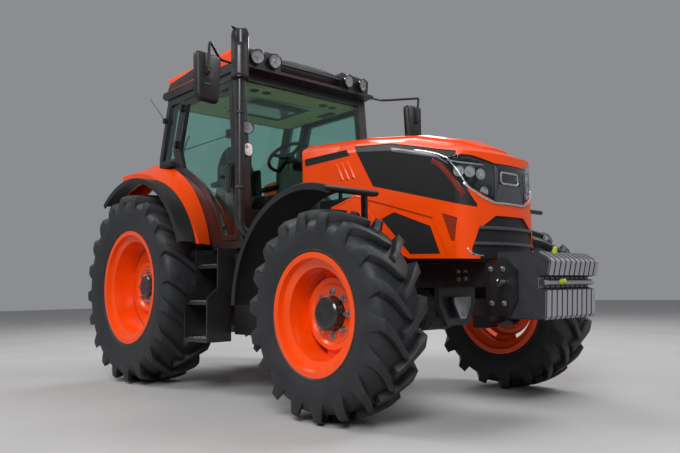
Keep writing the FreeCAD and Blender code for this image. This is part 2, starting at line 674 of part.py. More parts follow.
# Cab: a hollow frame of posts and sills, with the rear wheel arches taken out of its sides. Its arches
# are panels of their own.
CAB_OUTLINE = [("cab_front", "cab_low"), ("cab_front_high", "cab_high"), ("cab_rear_high", "cab_high"),
               ("cab_rear", "cab_waist"), ("cab_rear", "cab_low")]
ARCH_SHEET = 35
SILL = 63
HEADER = 65
SCREEN_MARGIN = 95
cab_wall = size("cab_wall")
cab_half = size("cab_half_width")
cab_low = size("cab_low")
cab_high = size("cab_high")
cab_front = size("cab_front")
cab_rear = size("cab_rear")
arch_high = size("arch_high")
door_high = cab_high - HEADER
door_low = cab_low + SILL
post_foot = (cab_rear + 332, size("cab_waist") + 33)
post_head = (size("cab_rear_high") + 315, door_high)


def arch_cylinder(radius, inner):
    left = Part.makeCylinder(radius, 400, Vector(0, inner, arch_high), Vector(0, 1, 0))
    return left.fuse(flip(left))


def front_post(height):
    """Front edge of the door opening at a height."""
    return cab_front - HEADER - size("cab_lean") * (height - cab_low) / (cab_high - cab_low)


def door_wire(distance):
    """Edge of the door opening in the side view, moved inward."""
    radius = size("door_arch_radius")
    rear_reach = cab_rear + 415
    slant = radius * math.sqrt(0.5)
    wire = outline_wire([
        (rear_reach, arch_high + math.sqrt(radius ** 2 - rear_reach ** 2)),
        (math.sqrt(radius ** 2 - (door_low - arch_high) ** 2), door_low, (slant, arch_high + slant)),
        (front_post(door_low), door_low),
        (front_post(door_high), door_high),
        post_head,
        post_foot,
    ], "side")
    return inset(wire, distance) if distance else wire


def across(wire, low, high):
    """Solid of an outline of the side view, between two places across the tractor."""
    return prism_of(wire.translated(Vector(0, low, 0)), Vector(0, 1, 0), high - low)


cab_wire = outline_wire([(size(x), size(z)) for x, z in CAB_OUTLINE], "side")
arch_lining = arch_cylinder(size("arch_radius") + ARCH_SHEET, size("arch_inner") - ARCH_SHEET)
cab_outer = across(cab_wire, -cab_half, cab_half).cut(arch_cylinder(size("arch_radius"), size("arch_inner")))
cab_inner = across(inset(cab_wire, cab_wall), cab_wall - cab_half, cab_half - cab_wall).cut(arch_lining)
screen_half = cab_half - SCREEN_MARGIN
front_hole = Part.makeBox(300, 2 * screen_half, door_high - cab_low - 320 + 5,
                          Vector(cab_front - 210, -screen_half, cab_low + 320))
rear_hole = Part.makeBox(300, 2 * screen_half, door_high - size("cab_waist") + 412,
                         Vector(cab_rear - 100, -screen_half, size("cab_waist") - 417)).cut(arch_lining)
roof_hole = Part.makeBox(900, 2 * (cab_half - 110), 100,
                         Vector(size("cab_rear_high") + 130, 110 - cab_half, cab_high - 80))
quarter_wire = outline_wire([
    (cab_rear + 55, post_foot[1] - 65), (post_foot[0] - 34, post_foot[1] - 65),
    (post_foot[0] - 67, post_foot[1]),
    (post_head[0] - 67, door_high), (size("cab_rear_high") + 43, door_high),
    (cab_rear + 55, size("cab_waist"))], "side")
quarter_holes = across(quarter_wire, -cab_half - 10, cab_half + 10)
door_holes = across(door_wire(0), -cab_half - 10, cab_half + 10)
cab_shell = cab_outer.cut([cab_inner, door_holes, front_hole, rear_hole, roof_hole, quarter_holes.cut(
    across(quarter_wire, cab_wall - cab_half, cab_half - cab_wall))])
node(feature("cab_arch_panels", cab_shell.common(arch_lining)), "cab_arches")
cab_shell = cab_shell.cut(arch_lining)

# Door hinges: two eyes and a pin on the post, and one eye between them on the door.
HINGE_OUT = 20
EYE_RADIUS = 12
EYE_HEIGHT = 23
HINGE_HEIGHT = 70
LEAF = 12
PIN_RADIUS = 6
hinge_foot = Vector(post_foot[0] - 5, cab_half + HINGE_OUT, post_foot[1])
hinge_line = Vector(post_head[0] - post_foot[0], 0, door_high - post_foot[1]).normalize()
hinge_turn = FreeCAD.Rotation(Vector(0, 0, 1), hinge_line)


def on_hinge(shape, along):
    """Place a shape made about the Z axis on the left door's hinge line."""
    shape = shape.copy()
    shape.Placement = FreeCAD.Placement(hinge_foot + hinge_line * along, hinge_turn)
    return shape


post_hinges = []
door_hinges = []
low = -HINGE_HEIGHT / 2
for along in (60, 400):
    eyes = [Part.makeCylinder(EYE_RADIUS, EYE_HEIGHT, Vector(0, 0, foot)).fuse(
        Part.makeBox(14, 14, EYE_HEIGHT, Vector(-14, -HINGE_OUT, foot))) for foot in (low, -low - EYE_HEIGHT)]
    leaf = Part.makeBox(34, LEAF, HINGE_HEIGHT, Vector(-46, -HINGE_OUT, low))
    neck = Part.makeBox(14, LEAF, HINGE_HEIGHT, Vector(-14, -HINGE_OUT, low)).cut(
        Part.makeBox(40, 40, EYE_HEIGHT + 1, Vector(-16, -25, -EYE_HEIGHT / 2 - 0.5)))
    pin = Part.makeCylinder(PIN_RADIUS, HINGE_HEIGHT, Vector(0, 0, low))
    post_hinges.append(on_hinge(leaf.fuse([*eyes, neck, pin]), along))
    door_eye = Part.makeCylinder(EYE_RADIUS, EYE_HEIGHT, Vector(0, 0, -EYE_HEIGHT / 2)).fuse(
        Part.makeBox(46, LEAF, EYE_HEIGHT, Vector(0, -HINGE_OUT, -EYE_HEIGHT / 2)))
    door_hole = Part.makeCylinder(PIN_RADIUS + size("bearing_gap"), 40, Vector(0, 0, -20))
    door_hinges.append(on_hinge(door_eye.cut(door_hole), along))
cab_shell = cab_shell.fuse(post_hinges + [flip(hinge) for hinge in post_hinges])
node(feature("cab_frame_shell", cab_shell), "cab_frame")

# Doors, each a whole frame with its window cut, and its pane.
door_in = cab_half - size("door_thick")
window_wire = door_wire(size("door_gap") + size("door_border"))
door_frame = across(door_wire(size("door_gap")), door_in,
                    cab_half).cut(across(window_wire, door_in - 10, cab_half + 10))
handle_place = Vector(cab_front - 185, cab_half, cab_low + 500)
handle = Part.makeBox(22, 30, 180, handle_place)
door_frame = door_frame.fuse([handle, *door_hinges]).removeSplitter()
glass = size("glass_thick")
pane_in = cab_half - (size("door_thick") + glass) / 2
pane = across(window_wire, pane_in, pane_in + glass)
for side, shape_of in (("left", lambda shape: shape), ("right", flip)):
    node(feature("door_frame_" + side, shape_of(door_frame)), "door_" + side)
    node(feature("door_pane_" + side, shape_of(pane)), "door_glass_" + side)

# Windscreen, and the rear window with the quarter windows, set into the cab frame.
PANE_DEPTH = 20
pane_shell = across(cab_wire, -screen_half, screen_half).cut(across(inset(cab_wire, glass), -cab_half,
                                                                    cab_half))
for label, hole, depth in (("windscreen", front_hole, -PANE_DEPTH), ("rear_window", rear_hole, PANE_DEPTH)):
    screen = pane_shell.common(hole)
    screen.translate(Vector(depth, 0, 0))
    screen = screen.common(hole)
    if label == "rear_window":
        quarter = across(quarter_wire, pane_in, pane_in + glass)
        screen = Part.makeCompound([screen, quarter, flip(quarter)])
    node(feature(label + "_pane", screen), label)

# Headliner under the roof opening.
HEADLINER = 25
node(block("headliner_board", ("cab_rear_high + 60", "cab_front_high - 65"), (85 - cab_half, cab_half - 85),
           ("cab_high - cab_wall - %d" % HEADLINER, "cab_high - cab_wall")), "headliner")

# Roof: a black frame with a thin visor lip and a lamp pod in each front corner, and the orange cap on top
# of it, rounded in all three views.
roof_half = cab_half + 15
visor = size("visor_front") - 20
frame_slab = prism([
    (60, cab_high), (visor - 95, cab_high), (visor, cab_high + 20), (visor, cab_high + 44),
    (visor - 110, cab_high + 80),
    (20, cab_high + 80), (0, cab_high + 40)], "side", -roof_half, roof_half)
pod = prism([
    (350, cab_high + 40), (700, cab_high + 40), (712, cab_high + 150),
    (670, cab_high + 178, (702, cab_high + 172)),
    (375, cab_high + 192), (345, cab_high + 165, (352, cab_high + 184))], "front", visor - 170, visor - 4)
lamp_bar = Part.makeCylinder(12, 700, Vector(visor + 5 - 25, -350, cab_high + 122), Vector(0, 1, 0))
roof_frame = frame_slab.fuse([pod, flip(pod), lamp_bar])
node(feature("roof_frame_panel", roof_frame), "roof_frame")
cap_low = cab_high + 80
cap_top = cab_high + size("roof_rise")
cap_side = prism([
    (20, cap_low), (visor - 108, cap_low), (visor - 118, cap_low + 60),
    (visor - 215, cap_top - 45, (visor - 140, cap_top - 72)),
    (70, cap_top - 35, (600, cap_top)), (2, cap_low + 100, (22, cap_top - 60))], "side", -cab_half, cab_half)
shoulder = cap_low + 92
cap_front = prism([
    (-cab_half, cap_low), (cab_half, cap_low), (cab_half, shoulder),
    (cab_half - 60, cap_top - 30, (cab_half - 17, cap_top - 50)), (60 - cab_half, cap_top - 30, (0, cap_top)),
    (-cab_half, shoulder, (17 - cab_half, cap_top - 50))], "front", -50, visor)
corner = 130
cap_plan = prism([
    (corner, -cab_half, (corner * 0.29, corner * 0.29 - cab_half)), (visor - 240, -cab_half),
    (visor - 108, 110 - cab_half, (visor - 146, 32 - cab_half)),
    (visor - 108, cab_half - 110), (visor - 240, cab_half, (visor - 146, cab_half - 32)), (corner, cab_half),
    (0, cab_half - corner, (corner * 0.29, cab_half - corner * 0.29)), (0, corner - cab_half)],
    "top", cab_high, cap_top + 50)
roof_cap = cap_side.common(cap_front).common(cap_plan).cut(roof_frame)
node(feature("roof_cap_panel", roof_cap), "roof_cap")

# Rear fenders: an orange band that rises to the rear with its outer skirt, its tail panel and the panel
# behind the cab, and black flares outside.
fender_thick = size("fender_thick")
fender_out = size("fender_out")
TAIL = -430
INNER_ARC = ((TAIL, arch_high + 1160), (388, arch_high + 1019), (861, arch_high + 362))
OUTER_ARC = ((TAIL, arch_high + 1097), (450, arch_high + 900), (999, arch_high + 365))
FLARE_RADIUS = 1000
FLARE_FORWARD = 50
fender_top = bent_panel([(cab_half, *INNER_ARC, fender_thick), (fender_out, *OUTER_ARC, fender_thick)])
flare_hollow = Part.makeCylinder(FLARE_RADIUS - fender_thick, 400,
                                 Vector(FLARE_FORWARD, cab_half - 50, arch_high),
                                 Vector(0, 1, 0))


def skirt(arc, low, high, front):
    """Upright panel under an arc of the fender, open over the tyre."""
    start, middle, end = arc
    panel = prism([(start[0], arch_high + 780), start, (*end, middle), (end[0], arch_high + 355)], "side",
                  low, high)
    panel = panel.cut(flare_hollow)
    return panel.common(Part.makeBox(front - TAIL, 400, 1500, Vector(TAIL, low - 50, arch_high)))


tail_panel = prism([(cab_half, arch_high + 838), (fender_out, arch_high + 838),
                    (fender_out, OUTER_ARC[0][1] - 2),
                    (cab_half, INNER_ARC[0][1] - 2)], "front", TAIL, TAIL + fender_thick)
rear_fender = fender_top.fuse([skirt(OUTER_ARC, fender_out - fender_thick, fender_out, 1100),
                               skirt(INNER_ARC, cab_half, cab_half + fender_thick, cab_rear + 30),
                               tail_panel])
node(feature("rear_fender_panels", Part.makeCompound([rear_fender, flip(rear_fender)])), "rear_fenders")
flare_points = [(FLARE_FORWARD + FLARE_RADIUS * math.cos(math.radians(a)),
                 arch_high + FLARE_RADIUS * math.sin(math.radians(a))) for a in (22, 75, 125)]
flare_out = size("flare_out")
flare = bent_panel([(fender_out, *flare_points, fender_thick), (flare_out, *flare_points, fender_thick)])
flare_lip = bent_panel([(flare_out - 14, *flare_points, 44), (flare_out, *flare_points, 44)])
flare = flare.fuse(flare_lip)
node(feature("fender_flare_panels", Part.makeCompound([flare, flip(flare)])), "fender_flares")

# Hood: thin panels under one lofted outline, whose front is rounded in the top view. Its measures run
# forward from the cab front and upward from the top of the engine.
# section: place forward, half width at the shoulder, shoulder height, crown height
HOOD_SECTIONS = [
    (60, 384, 468, 585),
    (940, 380, 422, 505),
    (1390, 376, 362, 440),
    (1740, 374, 258, 345),
    (1920, 370, 212, 246),
    (2040, 366, 176, 182),
]
HOOD_LENGTH = 1970
hood_half = size("hood_half_width")
wall = size("hood_wall")
hood_stretch = (size("rail_front") - size("cab_front") - 300) / (HOOD_LENGTH - 300)
HOOD_HIGH = 700
HOOD_LOW = -600


def along(forward):
    """Place along the hood, whose rear end stays with the cab and whose front follows the rails."""
    return forward if forward < 300 else 300 + (forward - 300) * hood_stretch


def hood_wire(forward, shoulder_half, shoulder, crown, depth):
    x = along(forward)
    side = [Vector(x, -(hood_half - depth), HOOD_LOW), Vector(x, -(hood_half - depth), shoulder - 60),
            Vector(x, -(shoulder_half - depth), shoulder - depth)]
    other = [Vector(p.x, -p.y, p.z) for p in reversed(side)]
    return Part.Wire([
        Part.makeLine(side[0], side[1]), Part.makeLine(side[1], side[2]),
        Part.Arc(side[2], Vector(x, 0, crown - depth), other[0]).toShape(),
        Part.makeLine(other[0], other[1]), Part.makeLine(other[1], other[2]),
        Part.makeLine(other[2], side[0])])


def hood_loft(depth):
    return Part.makeLoft([hood_wire(*row, depth) for row in HOOD_SECTIONS], True, True)


def hood_solid(depth):
    """The hood's outline filled, a depth below its outer surface."""
    side = hood_half - depth
    corner_out = hood_half - 105 - 0.8 * depth
    corner_mid = hood_half - 19 - 0.9 * depth
    start, bend, end, nose = [along(place) for place in (1760, 1880, 1940, 1985)]
    plan = prism([
        (0, -side), (start, -side), (end - 0.6 * depth, -corner_out, (bend - 0.7 * depth, -corner_mid)),
        (end - 0.6 * depth, corner_out, (nose - depth, 0)), (start, side, (bend - 0.7 * depth, corner_mid)),
        (0, side)], "top", HOOD_LOW, HOOD_HIGH)
    return hood_loft(depth).common(plan)


def side_zone(points, low=300, high=500):
    """Both sides of the hood, within an outline of the side view."""
    zone = prism([(along(point[0]), *point[1:]) for point in points], "side", low, high)
    return zone.fuse(flip(zone))


def front_zone(points, start=1790):
    return prism(points, "front", along(start), along(2140))


BLACK_SIDE = [(918, 409), (1292, 368), (1685, 265), (1840, 228), (1880, 60), (1945, -142), (1114, 84)]
LAMP_SIDE = [(1730, 222), (2140, 300), (2140, -200), (1885, -4)]
LAMP_FRONT = [(150, 150), (330, 190), (430, 205), (430, -2), (380, -2), (150, -107)]
NOSE_FRONT = [(-430, -2), (-380, -2), (-155, -107), (155, -107), (380, -2), (430, -2), (430, 205), (330, 190),
              (150, 150), (-150, 150), (-330, 190), (-430, 205)]
GRILLE_FRONT = [(-157, -190), (157, -190), (300, -280), (345, -400), (345, -440), (295, -450), (295, -540),
                (-295, -540), (-295, -450), (-345, -440), (-345, -400), (-300, -280)]
GRILLE_BACK = [(-165, -172), (165, -172), (315, -268), (362, -396), (362, -458), (295, -465), (295, -540),
               (-295, -540), (-295, -465), (-362, -458), (-362, -396), (-315, -268)]
STEPPED_SIDE = [(900, 10), (1000, 10), (1180, -40), (1650, -185), (1785, -475), (1785, -560), (900, -560)]
MESH_SIDE = [(1179, -155), (1305, -118), (1625, -240), (1700, -425), (1440, -415)]
INSERT_SIDE = [(1728, -165), (1850, -206), (1825, -351), (1797, -346)]
HOOD_BOTTOM = [(-50, 760), (-50, 200), (300, 195), (1000, 24), (1418, -442, (1170, -215)), (2049, -470),
               (2140, -240),
               (2140, 760)]
hood_side = prism([(along(point[0]), point[1], (along(point[2][0]), point[2][1])) if len(point) > 2
                   else (along(point[0]), point[1]) for point in HOOD_BOTTOM], "side", -500, 500)
rear_edge = prism([(330, -600), (2400, -600), (2400, 600), (330, 600), (330, hood_half),
                   (330, -hood_half, (115, 0))], "top", HOOD_LOW, HOOD_HIGH)
hood_range = hood_side.common(rear_edge)


def hood_skin(outer, inner, extent=hood_range):
    """Sheet between two depths below the hood's outer surface."""
    return hood_solid(outer).cut(hood_solid(inner)).common(extent)


black_side = side_zone(BLACK_SIDE)
lamp_side = prism([(along(x), z) for x, z in LAMP_SIDE], "side", -500, 500)
lamp_front = front_zone(LAMP_FRONT, 1600)
lamp_zone = lamp_side.common(lamp_front.fuse(flip(lamp_front)))
nose_zone = front_zone(NOSE_FRONT)
grille_zone = front_zone(GRILLE_FRONT)
stepped_zone = side_zone(STEPPED_SIDE)
mesh_zone = side_zone(MESH_SIDE)
insert_zone = side_zone(INSERT_SIDE)
panel = hood_skin(0, wall).cut([black_side, lamp_zone, nose_zone, grille_zone, stepped_zone, insert_zone])
stepped = hood_skin(wall - 2, wall + 8, hood_range.common(stepped_zone)).cut(mesh_zone)
bulge = hood_solid(-12).common(prism([
    (100, -215), (along(1700), -215), (along(1880), -140), (along(1880), 140), (along(1700), 215),
    (100, 215)],
    "top", HOOD_LOW, HOOD_HIGH)).cut(hood_solid(2)).common(hood_range)
# Hinge ears under the crown, on a bar between two posts that stand on the engine.
HINGE_PLACE = (140, 520)
EAR_OUT = 150
EAR_THICK = 14
HINGE_BAR_RADIUS = 12
ears = [Part.makeBox(80, EAR_THICK, 90, Vector(HINGE_PLACE[0] - 18, y,
                                               HINGE_PLACE[1] - 20)).common(hood_loft(4))
        for y in (-EAR_OUT - EAR_THICK, EAR_OUT)]
ear_holes = Part.makeCylinder(HINGE_BAR_RADIUS + size("bearing_gap"), 800,
                              Vector(HINGE_PLACE[0], -400, HINGE_PLACE[1]),
                              Vector(0, 1, 0))
hood_panels = panel.fuse([stepped, bulge, *ears]).cut(ear_holes)
node(feature("hood_shell_panels", hood_panels, "cab_front", 0, "engine_high"), "hood_shell")
post = block("hood_post", ("cab_front + %d" % (HINGE_PLACE[0] - 14),
                           "cab_front + %d" % (HINGE_PLACE[0] + 14)),
             (EAR_OUT + EAR_THICK + 4, EAR_OUT + EAR_THICK + 24),
             ("engine_high", "engine_high + %d" % (HINGE_PLACE[1] + 8)))
hinge_bar = rod("hinge_bar", "y", HINGE_BAR_RADIUS,
                ("cab_front + %d" % HINGE_PLACE[0], -EAR_OUT - EAR_THICK - 24,
                 "engine_high + %d" % HINGE_PLACE[1]),
                2 * (EAR_OUT + EAR_THICK + 24))
node(fuse("hood_support_whole", both_sides("hood_posts", post), hinge_bar), "hood_support")

# Black parts of the hood: side panels, nose, meshes, and the lower grille behind its opening with two bars.
side_black = hood_skin(5, wall, hood_range.common(black_side)).cut([lamp_zone, nose_zone])
nose_black = hood_skin(5, wall, hood_range.common(nose_zone)).cut(lamp_zone)
meshes = hood_skin(wall + 1, wall + 5, hood_range.common(mesh_zone))
insert_mesh = hood_skin(4, 9, hood_range.common(insert_zone))
lower_grille = hood_skin(wall, wall + 8, hood_range.common(front_zone(GRILLE_BACK)))
bars = [hood_skin(3, wall + 1, hood_range.common(grille_zone).common(
    Part.makeBox(600, 800, 22, Vector(along(1790), -400, height)))) for height in (-281, -381)]
hood_black = side_black.fuse([nose_black, meshes, insert_mesh, lower_grille.fuse(bars)])
node(feature("hood_grille_panels", hood_black, "cab_front", 0, "engine_high"), "hood_grilles")
lamps = hood_skin(1, 40).common(lamp_zone)
node(feature("headlight_bodies", lamps, "cab_front", 0, "engine_high"), "headlights")

# Exhaust: a pipe that leaves the engine's right side and rises at the corner of the cab, in a wide shield
# whose head is cut on a slant.
STACK_RADIUS = 35
SHIELD_RADIUS = 70
stack_rise = cab_low + 90
stack_pipe = pipe([(0, 0, cab_high - 100), (0, 0, stack_rise), (90, 270, stack_rise),
                   (90, size("stack_out - engine_half_width"), stack_rise)], STACK_RADIUS, 120)
shield = Part.makeCylinder(SHIELD_RADIUS, 440, Vector(0, 0, cab_high - 140))
slant = Part.makeBox(400, 400, 400, Vector(-200, -200, 0))
slant.Placement = FreeCAD.Placement(Vector(SHIELD_RADIUS * 0.8, -SHIELD_RADIUS * 0.6, cab_high + 110),
                                    FreeCAD.Rotation(Vector(3, 4, 0), 57))
bore = Part.makeCylinder(46, 300, Vector(0, 0, cab_high + 20))
stack = stack_pipe.fuse(shield).cut([slant, bore])
node(feature("stack_pipes", stack, "stack_place", "-stack_out", 0), "exhaust_stack")

# Mirrors: a clamp on the edge of the visor, a bent arm and a rounded head.
MIRROR_OUT = 1157
arm_rise = cab_high + 32
clamp = Part.makeBox(60, 24, 24, Vector(visor - 70, roof_half, arm_rise - 12))
arm_front = visor + 205
arm = pipe([(visor - 40, roof_half + 12, arm_rise), (visor - 40, roof_half + 150, arm_rise),
            (arm_front, MIRROR_OUT + 26, arm_rise), (arm_front - 12, MIRROR_OUT + 24, arm_rise - 330)], 11,
            50)
head_low, head_high = cab_high - 372, cab_high - 24
head = prism([
    (MIRROR_OUT - 90, head_low + 40), (MIRROR_OUT - 60, head_low, (MIRROR_OUT - 82, head_low + 10)),
    (MIRROR_OUT + 60, head_low), (MIRROR_OUT + 90, head_low + 40, (MIRROR_OUT + 82, head_low + 10)),
    (MIRROR_OUT + 90, head_high - 40), (MIRROR_OUT + 60, head_high, (MIRROR_OUT + 82, head_high - 10)),
    (MIRROR_OUT - 60, head_high), (MIRROR_OUT - 90, head_high - 40, (MIRROR_OUT - 82, head_high - 10))],
    "front", arm_front - 70, arm_front - 16)
mirror = clamp.fuse([arm, head])
node(feature("mirror_arms", Part.makeCompound([mirror, flip(mirror)])), "mirrors")

# Lamps: four in the roof pods, two on a bracket beside each front post and one on each fender tail.
roof_lamps = [rod("roof_lamp_%d" % out, "x", 55, ("visor_front - 24", out, "cab_high + 112"),
                  30) for out in (609, 429)]
lamp_bracket = block("lamp_bracket", ("cab_front - 110", "cab_front - 10"),
                     ("cab_half_width", "cab_half_width + 12"),
                     ("cab_low + 760", "cab_low + 1000"))
post_lamps = [rod("post_lamp_%d" % rise, "x", 48,
                  ("cab_front - 10", "cab_half_width - 28", "cab_low + %d" % rise), 50)
              for rise in (790, 975)]
tail_lamp = block("tail_lamp", (TAIL - 18, TAIL), ("cab_half_width + 45", "cab_half_width + 175"),
                  ("arch_high + 880", "arch_high + 975"))
node(both_sides("work_lamps_whole", fuse("lamps_one_side", *roof_lamps, lamp_bracket, *post_lamps,
                                         tail_lamp)),
     "work_lamps")

# Seat on its base, the floor, the dash with its column and the steering wheel.
floor_high = "cab_low + 80"
seat_foot = block("seat_foot", (250, 650), (-220, 220), (floor_high, "cab_low + 300"))
seat_bellows = block("seat_bellows", (280, 620), (-190, 190), ("cab_low + 300", "cab_low + 420"))
side_console = block("side_console", (250, 760), (-440, -300), (floor_high, "cab_low + 540"))
console_foot = block("console_foot", (300, 600), (-320, -200), (floor_high, "cab_low + 160"))
node(fuse("seat_base_whole", seat_foot, seat_bellows, side_console, console_foot), "seat_base")
cushion = block("cushion", (230, 720), (-250, 250), ("cab_low + 420", "cab_low + 540"))
backrest = pad("backrest", "XZ", [
    (150, "cab_low + 460"), (270, "cab_low + 460"), (270, "cab_low + 560"), (215, "cab_low + 1090"),
    (190, "cab_low + 1110"), (110, "cab_low + 1110"), (110, "cab_low + 1000")], 460)
node(fuse("seat_whole", cushion, backrest), "seat")
floor_front = block("floor_front", (960, "cab_front - 75"), ("65 - cab_half_width", "cab_half_width - 65"),
                    ("cab_low + cab_wall", floor_high))
floor_rear = block("floor_rear", (0, 960), ("60 - arch_inner", "arch_inner - 60"),
                   ("cab_low + cab_wall", floor_high))
node(fuse("cab_floor_whole", floor_front, floor_rear), "cab_floor")
dash = pad("dash_tower", "XZ", [
    ("cab_front - 270", floor_high), ("cab_front - 90", floor_high), ("cab_front - 110", "cab_low + 500"),
    ("cab_front - 130", "cab_low + 760"), ("cab_front - 250", "cab_low + 700"),
    ("cab_front - 280", "cab_low + 640")], 360)
COLUMN_LENGTH = 190
COLUMN_LEAN = 30
column = doc.addObject("Part::Cylinder", "column")
bind(column, Radius=30, Height=COLUMN_LENGTH)
column_turn = FreeCAD.Rotation(Vector(0, 1, 0), -COLUMN_LEAN)
column_foot = column_turn.multVec(Vector(0, 0, -260.3))
column.Placement = FreeCAD.Placement(Vector(), column_turn)
place(column, "cab_front - 350 + %.3f" % column_foot.x, 0, "cab_low + 870 + %.3f" % column_foot.z)
node(fuse("dashboard_whole", dash, column), "dashboard")
wheel_ring = Part.makeTorus(200, 16)
spokes = []
for angle in (0, 180, 270):
    spoke = Part.makeBox(200, 34, 14, Vector(0, -17, -7))
    spoke.rotate(Vector(), Vector(0, 0, 1), angle)
    spokes.append(spoke)
wheel_hub = Part.makeCylinder(45, 90, Vector(0, 0, -70))
steering_wheel = wheel_ring.fuse([*spokes, wheel_hub])
steering_wheel.rotate(Vector(), Vector(0, 1, 0), -COLUMN_LEAN)
node(feature("steering_wheel_ring", steering_wheel, "cab_front - 350", 0, "cab_low + 870"), "steering_wheel")

# Rear hitch: drawbar, power take-off, top link bracket and the pins of the lower links.
drawbar_bar = block("drawbar_bar", (-960, 300), (-45, 45), (395, 435))
drawbar_eye = rod("drawbar_eye", "z", "drawbar_pin_radius", (-900, 0, 380), 80)
drawbar_post = block("drawbar_post", (-250, 250), (-60, 60), (435, "gearbox_low"))
node(cut("drawbar_whole", fuse("drawbar_solid", drawbar_bar, drawbar_post), drawbar_eye), "drawbar")
pto = rod("pto_stub", "x", "pto_radius", ("gearbox_rear - 100", 0, "gearbox_low + 160"), 100)
LINK_PIN_RISE = "gearbox_low + 75"
TOP_PIN_RISE = "gearbox_low + 550"
top_bracket = block("top_bracket", ("gearbox_rear - 110", "gearbox_rear"), (-50, 50),
                    (TOP_PIN_RISE + " - 70", TOP_PIN_RISE + " + 50"))
top_slot = block("top_slot", ("gearbox_rear - 120", "gearbox_rear - 20"), (-26, 26),
                 (TOP_PIN_RISE + " - 90", TOP_PIN_RISE + " + 70"))
top_hole = rod("top_hole", "y", "top_link_pin_radius", ("gearbox_rear - 70", -60, TOP_PIN_RISE), 120)
hitch_bracket = cut("hitch_bracket", top_bracket, top_slot, top_hole)
link_pin = rod("link_pin", "y", 20, ("gearbox_rear + 200", "gearbox_half_width + 35", LINK_PIN_RISE),
               "468 - gearbox_half_width - 35")
node(fuse("hitch_mount_whole", pto, hitch_bracket, both_sides("link_pins", link_pin)), "hitch_mount")

# Top link: a turnbuckle between an eye pinned in the bracket and a ball for the implement. It is stowed
# leaning back over the bracket, and its own frame has the pin at the origin.
TOP_LINK_LENGTH = 650
STOWED_ANGLE = 60
top_link_parts = []
for name, along_axis, radius, start, length in (
        ("top_link_eye", "y", 32, (0, -24, 0), 48),
        ("top_link_pin", "y", "top_link_pin_radius - bearing_gap", (0, -56, 0), 112),
        ("top_link_head", "y", 21, (0, 50.3, 0), 8),
        ("top_link_thread", "x", 14, (-TOP_LINK_LENGTH, 0, 0), TOP_LINK_LENGTH),
        ("top_link_sleeve", "x", 23, (110 - TOP_LINK_LENGTH, 0, 0), TOP_LINK_LENGTH - 200),
        ("top_link_ball", "y", 34, (-TOP_LINK_LENGTH, -25.5, 0), 51),
        ("top_link_hole", "y", "top_link_pin_radius", (-TOP_LINK_LENGTH, -60, 0), 120)):
    item = doc.addObject("Part::Cylinder", name)
    bind(item, Radius=radius, Height=length)
    item.Placement = FreeCAD.Placement(Vector(*start), TURNS[along_axis])
    top_link_parts.append(item)
top_link = cut("top_link_whole", fuse("top_link_solid", *top_link_parts[:-1]), top_link_parts[-1])
top_link.Placement = FreeCAD.Placement(Vector(), FreeCAD.Rotation(Vector(0, 1, 0), STOWED_ANGLE))
node(place(top_link, "gearbox_rear - 70", 0, TOP_PIN_RISE), "top_link")

# Lower links, lift arms on their shaft and the lift rods between them.
LINK_LENGTH = 870
link_pivot_place = ("gearbox_rear + 200", 435, LINK_PIN_RISE)
ball_place = ("gearbox_rear + 200 - %d" % LINK_LENGTH, 425, LINK_PIN_RISE)
link_bar = block("link_bar", (ball_place[0], link_pivot_place[0]), (435, 465),
                 (LINK_PIN_RISE + " - 35", LINK_PIN_RISE + " + 35"))
link_pivot = rod("link_pivot", "y", 48, link_pivot_place, 30)
link_ball = rod("link_ball", "y", 48, ball_place, 50)
link_hole = rod("link_hole", "y", "link_ball_radius", (ball_place[0], 400, LINK_PIN_RISE), 100)
link_bore = rod("link_bore", "y", "20 + bearing_gap", (link_pivot_place[0], 400, LINK_PIN_RISE), 100)
link = cut("link", fuse("link_solid", link_bar, link_pivot, link_ball), link_hole, link_bore)
node(both_sides("lower_links_whole", link), "lower_links")
LIFT_PLACE = "gearbox_rear + 80"
LIFT_RISE = "gearbox_high + 150"
ROD_PLACE = "gearbox_rear - 280"
shaft = rod("lift_shaft", "y", 40, (LIFT_PLACE, "gearbox_half_width + 35 + running_gap", LIFT_RISE),
            "355 - gearbox_half_width - running_gap")
lift_arm = block("lift_arm", (ROD_PLACE, LIFT_PLACE), (360, 390), (LIFT_RISE + " - 35", LIFT_RISE + " + 35"))
lift_arm_end = rod("lift_arm_end", "y", 38, (ROD_PLACE, 360, LIFT_RISE), 30)
lift_pin = rod("lift_pin", "y", 15, (ROD_PLACE, 390, LIFT_RISE), 42)
node(both_sides("lift_arms_whole", fuse("lift_arm_one", shaft, lift_arm, lift_arm_end, lift_pin)),
     "lift_arms")
rod_bar = rod("rod_bar", "z", 18, (ROD_PLACE, 412, LINK_PIN_RISE), "%s - (%s)" % (LIFT_RISE, LINK_PIN_RISE))
rod_eyes = [rod(name, "y", 36, (ROD_PLACE, 395, rise), 34) for name, rise in
            (("low_eye", LINK_PIN_RISE), ("high_eye", LIFT_RISE))]
rod_holes = [rod(name, "y", "15 + bearing_gap", (ROD_PLACE, 380, rise), 60) for name, rise in
             (("low_hole", LINK_PIN_RISE), ("high_hole", LIFT_RISE))]
lift_rod = cut("lift_rod", fuse("lift_rod_solid", rod_bar, *rod_eyes), *rod_holes)
node(both_sides("lift_rods_whole", lift_rod), "lift_rods")

doc.recompute()
broken = [item.Name for item in doc.Objects if {"Invalid", "Error"} & set(item.State)]
for piece in NODES:
    if piece.Shape.isNull() or not piece.Shape.isValid():
        broken.append(piece.Label)
if broken:
    raise SystemExit("not built: " + ", ".join(broken))
os.makedirs("parts", exist_ok=True)
for piece in NODES:
    piece.Shape.exportStep("parts/%s.step" % piece.Label)
    print(piece.Label, len(piece.Shape.Solids), len(piece.Shape.Faces), round(piece.Shape.Volume / 1e6, 2))
